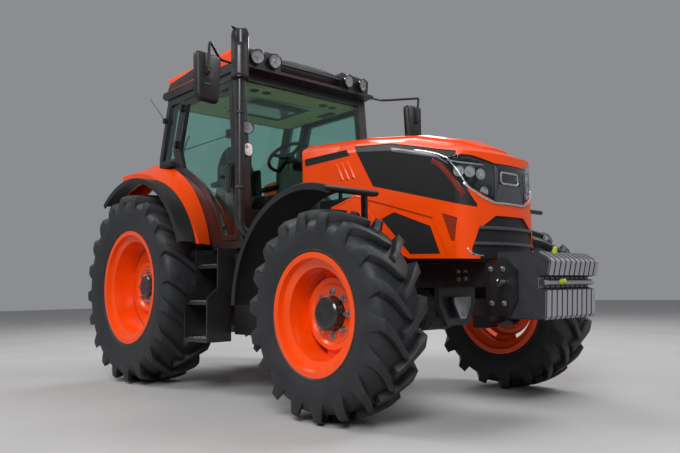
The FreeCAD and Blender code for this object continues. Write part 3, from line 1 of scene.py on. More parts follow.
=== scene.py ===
import math
import bpy
from mathutils import Matrix, Vector
from mathutils.bvhtree import BVHTree


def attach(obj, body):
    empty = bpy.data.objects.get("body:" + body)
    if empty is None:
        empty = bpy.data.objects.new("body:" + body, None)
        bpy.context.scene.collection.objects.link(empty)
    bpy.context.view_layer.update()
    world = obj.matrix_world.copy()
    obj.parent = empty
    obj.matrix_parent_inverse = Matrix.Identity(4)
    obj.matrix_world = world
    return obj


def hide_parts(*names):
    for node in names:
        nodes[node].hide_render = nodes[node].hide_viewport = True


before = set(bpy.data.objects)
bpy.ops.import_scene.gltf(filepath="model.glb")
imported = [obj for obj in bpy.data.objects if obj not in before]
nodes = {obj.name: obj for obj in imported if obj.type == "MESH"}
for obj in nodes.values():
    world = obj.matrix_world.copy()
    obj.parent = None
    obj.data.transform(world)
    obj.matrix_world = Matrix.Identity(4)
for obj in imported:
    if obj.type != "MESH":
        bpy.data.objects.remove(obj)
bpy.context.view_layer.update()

bpy.ops.object.select_all(action="DESELECT")

# Cast driveline: gearbox, rear axle trumpets, engine block, front axle and steering knuckles. Grey iron
# sand castings, milled where they meet, bolted end to end and sprayed with black chassis paint.
def linear(code):
    """Linear colour of an sRGB hex value."""
    parts = [int(code[i:i + 2], 16) / 255 for i in (0, 2, 4)]
    return [c / 12.92 if c <= 0.04045 else ((c + 0.055) / 1.055) ** 2.4 for c in parts] + [1.0]


def add_node(finish, kind, settings=(), links=()):
    """Add a shader node, set its sockets and properties, and link sockets into it."""
    made = finish.node_tree.nodes.new(kind)
    for name, value in dict(settings).items():
        if isinstance(name, int) or name in made.inputs:
            made.inputs[name].default_value = value
        else:
            setattr(made, name, value)
    for name, socket in dict(links).items():
        finish.node_tree.links.new(socket, made.inputs[name])
    return made


NOISE, CELLS, WAVES = "ShaderNodeTexNoise", "ShaderNodeTexVoronoi", "ShaderNodeTexWave"


def new_finish(name, tones, pattern, relief=(), gloss=(), surface=()):
    """Material whose tone follows a pattern: its texture, its size in millimetres and its settings.

    The relief is a depth in metres and a strength, over the same pattern unless another one follows. The
    gloss is the roughness where the pattern is low and where it is high.
    """
    finish = bpy.data.materials.new(name)
    finish.use_nodes = True
    finish.node_tree.nodes.clear()
    place = add_node(finish, "ShaderNodeTexCoord").outputs["Object"]

    def drawn(kind, size, settings=()):
        texture = add_node(finish, kind, {"Scale": 1000 / size, **dict(settings)}, {"Vector": place})
        return texture.outputs["Distance" if kind == CELLS else "Fac"]

    drift = drawn(*pattern)
    tone = add_node(finish, "ShaderNodeMix", {"data_type": "RGBA", 6: linear(tones[0]),
        7: linear(tones[1])}, {0: drift})
    links = {"Base Color": tone.outputs[2]}
    if relief:
        depth, strength, *finer = relief
        bumps = add_node(finish, "ShaderNodeBump", {"Distance": depth, "Strength": strength},
            {"Height": drawn(*finer) if finer else drift})
        links["Normal"] = bumps.outputs[0]
    if gloss:
        roughness = add_node(finish, "ShaderNodeMapRange", {"From Min": 0.3, "From Max": 0.7,
            "To Min": gloss[0], "To Max": gloss[1]}, {"Value": drift})
        links["Roughness"] = roughness.outputs[0]
    shader = add_node(finish, "ShaderNodeBsdfPrincipled", surface, links)
    add_node(finish, "ShaderNodeOutputMaterial", {}, {"Surface": shader.outputs[0]})
    return finish


def dress(finish, *names):
    """Give CAD nodes a finish."""
    for name in names:
        slots = nodes[name].data.materials
        slots.clear()
        slots.append(finish)


# Grey cast iron under chassis paint: black and half matt, with the small bumps of the sand mould and
# smoother, oilier patches.
cast_iron = new_finish("painted_cast_iron", ("161618", "2E2E30"), (NOISE, 60, {"Detail": 4.0}),
    relief=(0.0008, 0.6, NOISE, 7), gloss=(0.38, 0.6), surface={"IOR": 1.5})
dress(cast_iron, "gearbox", "rear_axle", "engine", "front_axle", "knuckle_left", "knuckle_right")

# Chassis steelwork: front frame, weight carrier, cab frame and doors, hitch and coolers. Welded plate and
# tube with a baked powder coat, bolted to the castings.
# Powder coat on steel: deep black with a satin gloss and the fine orange peel of the baked powder.
powder_coat = new_finish("black_powder_coat", ("0F0F11", "212123"), (NOISE, 140, {"Detail": 3.0}),
    relief=(0.00015, 0.6, NOISE, 5), gloss=(0.28, 0.44),
    surface={"IOR": 1.5, "Coat Weight": 0.3, "Coat Roughness": 0.25})
dress(powder_coat, "front_frame", "weight_carrier", "access_steps", "cab_frame", "door_left", "door_right",
    "coolers", "drive_shaft", "hood_support", "drawbar", "lower_links", "lift_arms", "seat_base",
    "exhaust_stack")

# Rods, links and fasteners: drawn and forged steel, turned, zinc plated and clear passivated, held by pins.
# Zinc plate: a cool silver metal with soft reflections and duller, greyer patches from handling.
zinc_plate = new_finish("zinc_plated_steel", ("85878A", "BFC1C3"), (NOISE, 25, {"Detail": 3.0}),
    relief=(0.0001, 0.5, NOISE, 3), gloss=(0.22, 0.42), surface={"Metallic": 1.0})
dress(zinc_plate, "steering_rod", "hitch_mount", "top_link", "lift_rods")

# Wheel rims: rolled and welded steel barrels with a pressed disc, dipped in orange enamel and baked.
# Rim enamel: full orange, glossy on the barrel, with a slow drift of tone and a light orange peel.
rim_enamel = new_finish("orange_rim_enamel", ("EC4400", "F85302"), (NOISE, 180, {"Detail": 3.0}),
    relief=(0.00008, 0.6, NOISE, 6), gloss=(0.28, 0.4),
    surface={"IOR": 1.5, "Specular IOR Level": 0.35, "Coat Weight": 0.4, "Coat Roughness": 0.1})
dress(rim_enamel, "rear_rim_left", "rear_rim_right", "front_rim_left", "front_rim_right")

# Hubs: turned castings with a round cap, in glossy black paint, behind the disc and through its middle.
# Gloss black paint: nearly black, with sharp reflections on the turned sides and a few dull patches.
hub_paint = new_finish("gloss_black_hub_paint", ("0C0C0D", "242526"), (NOISE, 40, {"Detail": 4.0}),
    gloss=(0.16, 0.36), surface={"IOR": 1.5, "Coat Weight": 0.5, "Coat Roughness": 0.08})
dress(hub_paint, "rear_hub_left", "rear_hub_right", "front_hub_left", "front_hub_right")

# Wheel nuts: eight flanged hexagon nuts a wheel on their studs, hot forged and zinc plated. Each is turned
# down from a hexagon, and the eight of a wheel are one piece.
def joined(name, pieces, finish, body, angle=30):
    """One piece made of several, smoothed by angle, with its finish and the body it rides on."""
    bpy.ops.object.select_all(action="DESELECT")
    for piece in pieces:
        piece.select_set(True)
    bpy.context.view_layer.objects.active = pieces[0]
    if len(pieces) > 1:
        bpy.ops.object.join()
    bpy.ops.object.transform_apply(location=True, rotation=True, scale=True)
    bpy.ops.object.shade_smooth_by_angle(angle=math.radians(angle))
    whole = bpy.context.object
    whole.name = name
    whole.data.materials.clear()
    whole.data.materials.append(finish)
    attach(whole, body)
    whole.select_set(False)
    return whole


def copied(piece, *matrices):
    """Copies of a piece with meshes of their own, moved by matrices; the first piece is used up."""
    made = []
    for matrix in matrices:
        twin = bpy.data.objects.new(piece.name, piece.data.copy())
        twin.data.transform(matrix)
        if matrix.determinant() < 0:
            twin.data.flip_normals()
        bpy.context.scene.collection.objects.link(twin)
        made.append(twin)
    bpy.data.objects.remove(piece)
    return made


def faces_where(piece, wanted):
    """Go into edit mode with the faces selected whose centre and normal pass a test."""
    bpy.ops.object.select_all(action="DESELECT")
    piece.select_set(True)
    bpy.context.view_layer.objects.active = piece
    bpy.ops.object.mode_set(mode="EDIT")
    bpy.ops.mesh.select_mode(type="FACE")
    bpy.ops.mesh.select_all(action="DESELECT")
    bpy.ops.object.mode_set(mode="OBJECT")
    for face in piece.data.polygons:
        face.select = wanted(face.center, face.normal)
    bpy.ops.object.mode_set(mode="EDIT")


def pushed(thickness, depth):
    """Inset the selected faces together and move them out or in, then leave edit mode."""
    bpy.ops.mesh.inset(thickness=thickness, depth=depth)
    bpy.ops.object.mode_set(mode="OBJECT")


def pressed(piece, way, *moves):
    """Inset the faces that look one way and move them out or in, once for each thickness and depth."""
    for thickness, depth in moves:
        faces_where(piece, lambda centre, normal: normal.dot(Vector(way)) > 0.9)
        pushed(thickness, depth)


def softened(piece, width, segments=2, angle=30):
    """Round the edges of a piece that are sharper than an angle."""
    bpy.context.view_layer.objects.active = piece
    rounding = piece.modifiers.new("rounding", "BEVEL")
    rounding.width = width
    rounding.segments = segments
    rounding.limit_method = "ANGLE"
    rounding.angle_limit = math.radians(angle)
    bpy.ops.object.modifier_apply(modifier="rounding")


NUT_CIRCLE = 0.1375
wheels = [
    # wheel, side, middle of the wheel, face of the disc
    ("rear", "left", (-1.365, 0.86, 0.85), 0.873), ("rear", "right", (-1.365, -0.86, 0.85), 0.873),
    ("front", "left", (1.283, 0.961, 0.65), 0.948), ("front", "right", (1.283, -0.961, 0.65), 0.948),
]
for wheel, side, middle, face in wheels:
    hand = 1 if side == "left" else -1
    bpy.ops.mesh.primitive_cylinder_add(vertices=6, radius=0.0185, depth=0.018, location=(0, 0, 0.013))
    nut = bpy.context.object
    bpy.ops.object.transform_apply(location=True)
    pressed(nut, (0, 0, 1), (0.004, 0.002), (0.005, -0.001), (0.001, 0.009))
    bpy.ops.mesh.primitive_cylinder_add(vertices=24, radius=0.024, depth=0.005, location=(0, 0, 0.0025))
    flange = bpy.context.object
    pressed(flange, (0, 0, 1), (0.004, 0.0015))
    nut = joined("wheel_nut", [nut, flange], zinc_plate, "chassis")
    at_hub = Matrix.Translation((middle[0], hand * face, middle[2]))
    on_circle = Matrix.Translation((NUT_CIRCLE, 0, 0)) @ Matrix.Rotation(math.radians(-90 * hand), 4, "X")
    turns = [at_hub @ Matrix.Rotation(math.radians(45 * k), 4, "Y") @ on_circle for k in range(8)]
    joined(f"{wheel}_wheel_nuts_{side}", copied(nut, *turns), zinc_plate, f"{wheel}_wheel_{side}")

# Tyres: radial traction tyres, moulded in black rubber over a steel cord belt. The casing is spun from its
# section and one lug is shaped and spun round the casing; the tyre sits on its rim's bead seats.
# Tyre rubber: dark grey-black and matt, faintly grained by the mould, with paler dust on the tread.
tyre_rubber = new_finish("moulded_tyre_rubber", ("131416", "292B2E"), (NOISE, 110, {"Detail": 5.0}),
    relief=(0.0005, 0.5, NOISE, 4, {"Detail": 3.0}), gloss=(0.44, 0.7),
    surface={"IOR": 1.52, "Specular IOR Level": 0.45})


def turned(section, steps, centre=(0, 0, 0), toward=(0, 1, 0)):
    """Piece spun about Y from a closed section of places along it and radii, then turned and moved."""
    bpy.ops.object.select_all(action="DESELECT")
    bpy.ops.mesh.primitive_circle_add(vertices=len(section), radius=0.1)
    piece = bpy.context.object
    for corner, (along, radius) in zip(piece.data.vertices, section):
        corner.co = (0, along, radius)
    bpy.ops.object.mode_set(mode="EDIT")
    bpy.ops.mesh.select_all(action="SELECT")
    bpy.ops.mesh.spin(steps=steps, angle=2 * math.pi, center=(0, 0, 0), axis=(0, 1, 0))
    bpy.ops.mesh.select_all(action="SELECT")
    bpy.ops.mesh.remove_doubles(threshold=0.00002)
    bpy.ops.mesh.normals_make_consistent(inside=False)
    bpy.ops.object.mode_set(mode="OBJECT")
    turn = Vector((0, 1, 0)).rotation_difference(Vector(toward)).to_matrix().to_4x4()
    piece.data.transform(Matrix.Translation(centre) @ turn)
    return piece


LUG_HEIGHT = 0.046
LUG_CUTS = 7
CASING_STEPS = 144
tyre_sizes = {
    # wheel: radius, width, bead seat radius, half bead width, lugs a side
    "rear": (0.85, 0.52, 0.483, 0.196, 20),
    "front": (0.65, 0.385, 0.356, 0.143, 18),
}
for wheel, side, middle, face in wheels:
    radius, width, seat, bead, lugs = tyre_sizes[wheel]
    half = width / 2
    floor = radius - LUG_HEIGHT
    wall = floor - 0.075 - seat
    pitch = 2 * math.pi / lugs
    outer = [
        # place across, radius
        (bead, seat + 0.002), (bead + 0.012, seat + 0.02), (half * 0.86, seat + wall * 0.16),
        (half * 0.885, seat + wall * 0.21), (half * 0.875, seat + wall * 0.25),
        (half * 0.93, seat + wall * 0.42), (half * 0.975, seat + wall * 0.64),
        (half * 0.99, seat + wall * 0.86), (half * 0.975, floor - 0.075), (half * 0.94, floor - 0.056),
        (half * 0.87, floor - 0.034), (half * 0.76, floor - 0.018), (half * 0.55, floor - 0.008),
        (half * 0.28, floor - 0.002), (0.0, floor),
    ]
    section = outer + [(-y, r) for y, r in reversed(outer[:-1])]
    casing = turned(section, CASING_STEPS)
    stations = [
        # place across, top radius, foot radius, half widths of top and foot, slant in pitches
        (-0.02, radius, floor - 0.01, 0.021, 0.028, -0.02),
        (half * 0.1, radius, floor - 0.01, 0.025, 0.033, 0.1),
        (half * 0.34, radius - 0.001, floor - 0.01, 0.028, 0.037, 0.33),
        (half * 0.58, radius - 0.004, floor - 0.02, 0.031, 0.04, 0.54),
        (half * 0.8, radius - 0.01, floor - 0.04, 0.035, 0.044, 0.7),
        (half * 0.95, radius - 0.019, floor - 0.07, 0.038, 0.047, 0.79),
        (half * 0.985, radius - 0.052, floor - 0.08, 0.042, 0.05, 0.82),
        (half * 0.996, floor - 0.035, floor - 0.09, 0.054, 0.058, 0.835),
        (half * 0.99, floor - 0.092, floor - 0.12, 0.078, 0.078, 0.845),
    ]
    halves = []
    for hand in (1, -1):
        bpy.ops.mesh.primitive_cube_add(size=2)
        lug = bpy.context.object
        faces_where(lug, lambda centre, normal: abs(normal.x) < 0.5)
        bpy.ops.mesh.select_mode(type="EDGE")
        bpy.ops.mesh.select_all(action="DESELECT")
        bpy.ops.object.mode_set(mode="OBJECT")
        for edge in lug.data.edges:
            ends = [lug.data.vertices[i].co for i in edge.vertices]
            edge.select = abs(ends[0].x - ends[1].x) > 1
        bpy.ops.object.mode_set(mode="EDIT")
        bpy.ops.mesh.subdivide(number_cuts=LUG_CUTS)
        bpy.ops.object.mode_set(mode="OBJECT")
        for corner in lug.data.vertices:
            station = round((corner.co.x + 1) / 2 * (LUG_CUTS + 1))
            across, top, foot, top_half, foot_half, slant = stations[station]
            is_top = corner.co.z > 0
            inward = 0.0 if is_top or across < half * 0.9 else 0.05
            angle = -slant * pitch + (0 if hand == 1 else pitch / 2)
            turn = angle + corner.co.y * (top_half if is_top else foot_half) / radius
            reach = top if is_top else foot
            corner.co = (reach * math.sin(turn), hand * (across - inward), reach * math.cos(turn))
        bpy.ops.object.mode_set(mode="EDIT")
        bpy.ops.mesh.select_all(action="SELECT")
        bpy.ops.mesh.normals_make_consistent(inside=False)
        bpy.ops.object.mode_set(mode="OBJECT")
        softened(lug, 0.004, 2, 35)
        bpy.ops.object.mode_set(mode="EDIT")
        bpy.ops.mesh.select_all(action="SELECT")
        bpy.ops.mesh.spin(steps=lugs - 1, dupli=True, angle=pitch * (lugs - 1), center=(0, 0, 0),
            axis=(0, 1, 0))
        bpy.ops.object.mode_set(mode="OBJECT")
        halves.append(lug)
    tyre = joined(f"{wheel}_tyre_tread_{side}", [casing] + halves, tyre_rubber, f"{wheel}_wheel_{side}", 35)
    tyre.data.transform(Matrix.Translation(middle))
    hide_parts(f"{wheel}_tyre_{side}")

# Fenders, tanks and roof frame: injection moulded polypropylene, clipped and screwed on.
# Grained polypropylene: black and soft in its gloss, with a leather-like grain and scuffed paler patches.
grained_plastic = new_finish("grained_black_polypropylene", ("0D0D0F", "1B1B1D"),
    (NOISE, 200, {"Detail": 4.0}), relief=(0.0002, 0.6, CELLS, 2.5), gloss=(0.38, 0.54),
    surface={"IOR": 1.49})
dress(grained_plastic, "front_fender_left", "front_fender_right", "fender_flares", "roof_frame",
    "side_tanks", "cab_arches", "steering_wheel")

# Orange body panels: deep-drawn steel hood, moulded roof cap and rear fenders, painted before they are hung.
# Two-coat enamel: strong orange with a clear coat that mirrors the studio, and a slight orange peel.
orange_enamel = new_finish("orange_gloss_enamel", ("E84300", "F44D00"), (NOISE, 260, {"Detail": 3.0}),
    relief=(0.00005, 0.6, NOISE, 8), gloss=(0.28, 0.38),
    surface={"IOR": 1.5, "Specular IOR Level": 0.2, "Coat Weight": 0.25, "Coat Roughness": 0.05})
dress(orange_enamel, "hood_shell", "roof_cap", "rear_fenders")

# Hood side screens and grilles: perforated steel sheet behind the openings, painted black, so the engine
# is just hidden. The holes are drawn 5 mm apart and painted near-black: painted shade for the dark seen
# through them.
screen_sheet = new_finish("perforated_black_sheet", ("060607", "2C2D2F"), (CELLS, 5, {"Randomness": 0.0}),
    relief=(0.0008, 0.7), surface={"IOR": 1.5, "Roughness": 0.42, "Specular IOR Level": 0.3})
dress(screen_sheet, "hood_grilles")

# Cab glazing: 5 mm toughened glass, bonded into the frame and the doors.
# Tinted glass: clear with a green cast that deepens where one looks through two panes.
tinted_glass = new_finish("green_tinted_glass", ("C4EFE4", "CDF3EA"), (NOISE, 500, {"Detail": 2.0}),
    surface={"IOR": 1.45, "Roughness": 0.02, "Transmission Weight": 1.0})
dress(tinted_glass, "door_glass_left", "door_glass_right", "windscreen", "rear_window")

# Inside of the cab: grey moulded trim, an olive headliner, a ribbed mat and the seat.
grey_trim = new_finish("grey_moulded_trim", ("4E524F", "666A66"), (NOISE, 220, {"Detail": 3.0}),
    relief=(0.0002, 0.6, CELLS, 2.5), surface={"IOR": 1.5, "Roughness": 0.58})
dress(grey_trim, "dashboard")

# Headliner: moulded board under a short-napped knit in straw, which looks olive through the tinted glass. Its
# tone is painted far paler than the knit: painted light for the light that falls into the cab through the
# glass.
headliner_painted_light = new_finish("headliner_knit_painted_light", ("F4E386", "FBEFA4"), (NOISE, 160, {"Detail": 3.0}),
    relief=(0.0004, 0.6, NOISE, 3), surface={"IOR": 1.5, "Roughness": 0.85, "Sheen Weight": 0.3})
dress(headliner_painted_light, "headliner")

# Floor mat: moulded black rubber, matt, with broad ribs. A wave texture repeats every 0.314 of its size, so
# these ribs come 75 mm apart, coarse enough to show.
floor_mat = new_finish("ribbed_rubber_mat", ("171718", "28282A"), (WAVES, 240, {"bands_direction": "Y"}),
    relief=(0.001, 0.6), surface={"IOR": 1.52, "Roughness": 0.75})
dress(floor_mat, "cab_floor")

# Seat cloth: charcoal polyester, dull and soft, with the threads drawn 3 mm apart so that they show.
seat_cloth = new_finish("woven_seat_cloth", ("1B1C1F", "3C3E43"), (CELLS, 3, {"Randomness": 0.2}),
    relief=(0.0005, 0.6), surface={"IOR": 1.5, "Roughness": 0.9, "Sheen Weight": 0.3})

# Hood name strips, lower panels and louvres: a bare black moulded strip let into each side of the hood, a
# painted panel screwed on below it, and three slanted louvres pressed out of the steel.
def rounded(outline, radius):
    """An outline whose corners are rounded."""
    points = []
    for before, corner, after in zip(outline[-1:] + outline[:-1], outline, outline[1:] + outline[:1]):
        corner, before, after = Vector(corner), Vector(before), Vector(after)
        start = corner + (before - corner).normalized() * radius
        end = corner + (after - corner).normalized() * radius
        for share in (0.0, 0.25, 0.5, 0.75, 1.0):
            points.append(tuple(start.lerp(corner, share).lerp(corner.lerp(end, share), share)))
    return points


def rounded_box(low_a, high_a, low_b, high_b, radius):
    """Outline of a rectangle whose corners are rounded."""
    return rounded([(low_a, low_b), (high_a, low_b), (high_a, high_b), (low_a, high_b)], radius)


def plate(outline, view, level, thickness, edge=0.001):
    """Flat piece: an outline in the side, front or top view, raised from a level by a thickness."""
    bpy.ops.object.select_all(action="DESELECT")
    bpy.ops.mesh.primitive_circle_add(vertices=len(outline), radius=0.1, fill_type="NGON")
    piece = bpy.context.object
    for corner, (a, b) in zip(piece.data.vertices, outline):
        corner.co = {"side": (a, level, b), "front": (level, a, b), "top": (a, b, level)}[view]
    rise = {"side": (0, thickness, 0), "front": (thickness, 0, 0), "top": (0, 0, thickness)}[view]
    bpy.ops.object.mode_set(mode="EDIT")
    bpy.ops.mesh.select_all(action="SELECT")
    bpy.ops.mesh.extrude_region_move(TRANSFORM_OT_translate={"value": rise})
    bpy.ops.mesh.select_all(action="SELECT")
    bpy.ops.mesh.normals_make_consistent(inside=False)
    bpy.ops.object.mode_set(mode="OBJECT")
    if edge:
        softened(piece, edge)
    return piece


MIRROR_SIDE = Matrix.Diagonal((1, -1, 1, 1))
BOTH_SIDES = (Matrix.Identity(4), MIRROR_SIDE)


def copied_both(pieces):
    """The pieces with their mirror images on the other side."""
    return [twin for piece in pieces for twin in copied(piece, *BOTH_SIDES)]


# Gloss black moulding: polished ABS, nearly black, with a hard reflection and a faint drift of tone.
gloss_black = new_finish("polished_black_abs", ("0B0B0D", "1E1F22"), (NOISE, 60, {"Detail": 3.0}),
    gloss=(0.14, 0.26), surface={"IOR": 1.54, "Coat Weight": 1.0, "Coat Roughness": 0.04})

strip = plate(rounded([(0.362, 1.776), (0.35, 1.836), (0.838, 1.834), (0.878, 1.783)], 0.012), "side",
    -0.4015, 0.006, 0.0015)
pressed(strip, (0, -1, 0), (0.005, -0.0012))
joined("hood_name_strips", copied_both([strip]), grained_plastic, "hood")

side_panel = plate([(0.66, 1.385), (0.66, 1.415), (0.8, 1.45), (0.93, 1.482), (1.0, 1.468), (1.035, 1.425),
    (1.055, 1.388), (1.105, 1.318), (1.205, 1.198), (1.305, 1.098), (1.395, 1.014), (1.19, 1.01),
    (0.86, 1.3)], "side", -0.401, 0.004, 0.001)
pressed(side_panel, (0, -1, 0), (0.014, 0.0008))
joined("hood_lower_side_panels", copied_both([side_panel]), orange_enamel, "hood", 40)

louvres = []
for start in (0.7, 0.762, 0.824):
    louvre = plate([(start, 1.748), (start + 0.04, 1.748), (start + 0.112, 1.604), (start + 0.072, 1.604)],
        "side", -0.3995, 0.004, 0)
    pressed(louvre, (0, -1, 0), (0.009, 0.009))
    softened(louvre, 0.003, 3, 12)
    louvres += copied_both([louvre])
joined("hood_louvres", louvres, orange_enamel, "hood", 60)

# Hood trims: roll-formed satin strips round the nose, along the chin and the lamps and on the tips of the
# lower horns. Each is laid on the hood's own surface and clipped through it.
corners, faces = [], []
for name in ("hood_shell", "hood_grilles", "headlights"):
    mesh = nodes[name].data
    faces += [[len(corners) + i for i in face.vertices] for face in mesh.polygons]
    corners += [corner.co.copy() for corner in mesh.vertices]
hood_surface = BVHTree.FromPolygons(corners, faces)
HOOD_CORE = Vector((1.5, 0, 0))


def landed(point, lift):
    """Place on the hood straight out from its core, raised by a lift, and the direction out of it."""
    outward = Vector((point.x - HOOD_CORE.x, point.y, 0)).normalized()
    spot, normal = hood_surface.ray_cast(point + outward * 0.3, -outward)[:2]
    if spot is None or normal.dot(outward) < 0.2:
        spot, normal = point, outward
    return spot + normal * lift, normal


def walled(piece, thickness, side):
    """Give an open sheet a wall on one side of it."""
    wall = piece.modifiers.new("wall", "SOLIDIFY")
    wall.thickness = thickness
    wall.offset = side
    bpy.ops.object.modifier_apply(modifier="wall")


def laid_strip(line, width, thickness, lift=0.0, step=0.02, closed=False):
    """Strip that follows a line of places over the hood."""
    places = []
    ends = line + line[:1] if closed else line
    for a, b in zip(ends, ends[1:]):
        a, b = Vector(a), Vector(b)
        count = max(1, math.ceil((b - a).length / step))
        places += [a.lerp(b, k / count) for k in range(count)]
    places.append(Vector(ends[-1]))
    bpy.ops.object.select_all(action="DESELECT")
    bpy.ops.mesh.primitive_grid_add(x_subdivisions=len(places) - 1, y_subdivisions=1, size=2)
    piece = bpy.context.object
    spots = [landed(place, lift) for place in places]
    for corner in piece.data.vertices:
        k = round((corner.co.x + 1) / 2 * (len(places) - 1))
        before, after = spots[max(k - 1, 0)][0], spots[min(k + 1, len(places) - 1)][0]
        if closed and k in (0, len(places) - 1):
            before, after = spots[-2][0], spots[1][0]
        across = (after - before).normalized().cross(spots[k][1]).normalized()
        corner.co = spots[k][0] + across * (width / 2 if corner.co.y > 0 else -width / 2)
    bpy.ops.object.mode_set(mode="EDIT")
    bpy.ops.mesh.select_all(action="SELECT")
    bpy.ops.mesh.remove_doubles(threshold=0.0002)
    bpy.ops.mesh.normals_make_consistent(inside=False)
    bpy.ops.object.mode_set(mode="OBJECT")
    if piece.data.polygons[0].normal.dot(spots[0][1]) < 0:
        piece.data.flip_normals()
    walled(piece, thickness, 1)
    softened(piece, min(width, thickness) * 0.3, 2, 40)
    return piece


# Satin trim: vacuum-metallised ABS, a light silver with soft reflections and a brushed streak.
satin_trim = new_finish("satin_metallised_trim", ("B9BBBE", "E6E7E9"), (NOISE, 12, {"Detail": 3.0}),
    gloss=(0.2, 0.34), surface={"Metallic": 0.85})

lamp_line = [(1.5, -0.4, 1.724), (1.6, -0.4, 1.7), (1.71, -0.4, 1.664), (1.79, -0.4, 1.622),
    (1.85, -0.4, 1.548), (1.885, -0.37, 1.47), (1.9, -0.355, 1.44)]
chin_line = [(1.885, -0.375, 1.452), (1.92, -0.33, 1.405), (1.94, -0.26, 1.362), (1.955, -0.155, 1.332)]
tip_line = [(1.89, -0.365, 1.04), (1.905, -0.345, 1.012), (1.925, -0.3, 0.996), (1.935, -0.262, 0.993)]
trims = copied_both([laid_strip(lamp_line, 0.009, 0.006)])
trims += copied_both([laid_strip(chin_line, 0.014, 0.006)])
trims.append(laid_strip([(1.955, -0.155, 1.332), (1.98, 0, 1.332), (1.955, 0.155, 1.332)], 0.014, 0.006))
trims += copied_both([laid_strip(tip_line, 0.01, 0.005)])
joined("hood_trims", trims, satin_trim, "hood", 40)

# Nose: a smooth graphite plate under a bare gloss band, with a framed air slot between them.
slot_ring = [(1.97, -0.098, 1.476), (1.97, -0.09, 1.536), (1.97, 0.09, 1.536), (1.97, 0.098, 1.476),
    (1.97, 0.08, 1.462), (1.97, -0.08, 1.462)]
frame_ring = laid_strip(slot_ring, 0.012, 0.01, closed=True)
joined("nose_slot_frame", [frame_ring], satin_trim, "hood", 40)

# Graphite moulding: dark grey satin polycarbonate with a fine spark-eroded skin.
graphite = new_finish("satin_graphite_moulding", ("37373C", "4A4A50"), (NOISE, 90, {"Detail": 3.0}),
    relief=(0.0001, 0.5, NOISE, 2), surface={"IOR": 1.58, "Roughness": 0.34})


def laid_patch(corner_places, cuts, thickness, lift=0.0):
    """Panel over the hood between four places, given lower left, lower right, upper right, upper left."""
    bpy.ops.object.select_all(action="DESELECT")
    bpy.ops.mesh.primitive_grid_add(x_subdivisions=cuts, y_subdivisions=cuts, size=2)
    piece = bpy.context.object
    low_left, low_right, high_right, high_left = [Vector(place) for place in corner_places]
    for corner in piece.data.vertices:
        s, t = (corner.co.x + 1) / 2, (corner.co.y + 1) / 2
        corner.co = landed(low_left.lerp(low_right, s).lerp(high_left.lerp(high_right, s), t), lift)[0]
    if piece.data.polygons[0].normal.dot(corner.co - HOOD_CORE) < 0:
        piece.data.flip_normals()
    walled(piece, thickness, 1)
    softened(piece, thickness * 0.4, 2, 40)
    return piece


nose_plate = laid_patch([(1.95, -0.15, 1.342), (1.95, 0.15, 1.342), (1.95, 0.112, 1.455),
    (1.95, -0.112, 1.455)], 12, 0.006)
nose_cheeks = copied(laid_patch([(1.95, -0.152, 1.35), (1.95, -0.12, 1.455), (1.95, -0.112, 1.56),
    (1.95, -0.146, 1.578)], 6, 0.005), *BOTH_SIDES)
joined("nose_plates", [nose_plate] + nose_cheeks, graphite, "hood", 40)
nose_band = laid_patch([(1.95, -0.11, 1.546), (1.95, 0.11, 1.546), (1.95, 0.14, 1.584),
    (1.95, -0.14, 1.584)], 12, 0.005)
# The slot is closed by a thin gloss black sheet laid flush across it: painted shade for the dark inside the
# slot.
slot_shade_sheet = laid_patch([(1.95, -0.088, 1.468), (1.95, 0.088, 1.468), (1.95, 0.084, 1.53),
    (1.95, -0.084, 1.53)], 10, 0.001)
joined("nose_black_band", [nose_band, slot_shade_sheet], gloss_black, "hood", 40)

# Hood side blades: a moulded blade in silver grey paint runs along the top of each side screen into the lamp,
# and a smoked red strip lies behind the lamp trim.
# Silver grey paint: satin, with a fine metallic fleck.
silver_grey_paint = new_finish("silver_grey_satin_paint", ("5E5C60", "7C7A7E"), (NOISE, 3, {"Detail": 2.0}),
    surface={"IOR": 1.5, "Metallic": 0.3, "Roughness": 0.35})
blade = laid_patch([(1.3, -0.4, 1.744), (1.7, -0.4, 1.64), (1.664, -0.4, 1.678), (1.272, -0.4, 1.778)], 14,
    0.004, 0.001)
blade_tip = laid_patch([(1.7, -0.4, 1.64), (1.8, -0.4, 1.58), (1.775, -0.4, 1.606), (1.664, -0.4, 1.678)],
    8, 0.004, 0.001)
joined("hood_side_blades", copied_both([blade, blade_tip]), silver_grey_paint, "hood", 40)
# Smoked red acrylic: dark and glassy, glowing red where the light comes through.
smoked_red = new_finish("smoked_red_acrylic", ("5A1712", "8A3026"), (NOISE, 70, {"Detail": 2.0}),
    surface={"IOR": 1.49, "Roughness": 0.1, "Coat Weight": 0.4})
red_line = [(1.655, -0.4, 1.628), (1.725, -0.4, 1.588), (1.79, -0.4, 1.52), (1.845, -0.39, 1.445),
    (1.88, -0.37, 1.372)]
red_strip = laid_strip(red_line, 0.034, 0.004)
joined("hood_smoked_strips", copied_both([red_strip]), smoked_red, "hood", 40)

# Grille bars: two moulded bars across the lower grille, and the small coloured screens in the cheeks.
bars = [laid_strip([(1.9, -y, z), (1.95, -0.22, z), (1.97, 0, z), (1.95, 0.22, z), (1.9, y, z)], 0.02,
    0.006) for y, z in ((0.27, 1.171), (0.315, 1.071))]
joined("lower_grille_bars", bars, graphite, "hood", 40)

# Cheek screens: punched sheet in the body colour, its holes painted near-black as painted shade for the dark
# behind the sheet, so that it reads rust brown from afar.
cheek_sheet = new_finish("punched_cheek_sheet", ("1E0A04", "C23A0C"), (CELLS, 6, {"Randomness": 0.0}),
    surface={"IOR": 1.5, "Roughness": 0.4})
screen = laid_patch([(1.795, -0.4, 1.095), (1.818, -0.4, 1.093), (1.842, -0.4, 1.231), (1.728, -0.4, 1.27)],
    8, 0.003)
faces_where(screen, lambda centre, normal: normal.y < -0.7)
pushed(0.004, -0.002)
joined("cheek_screens", copied_both([screen]), cheek_sheet, "hood", 40)

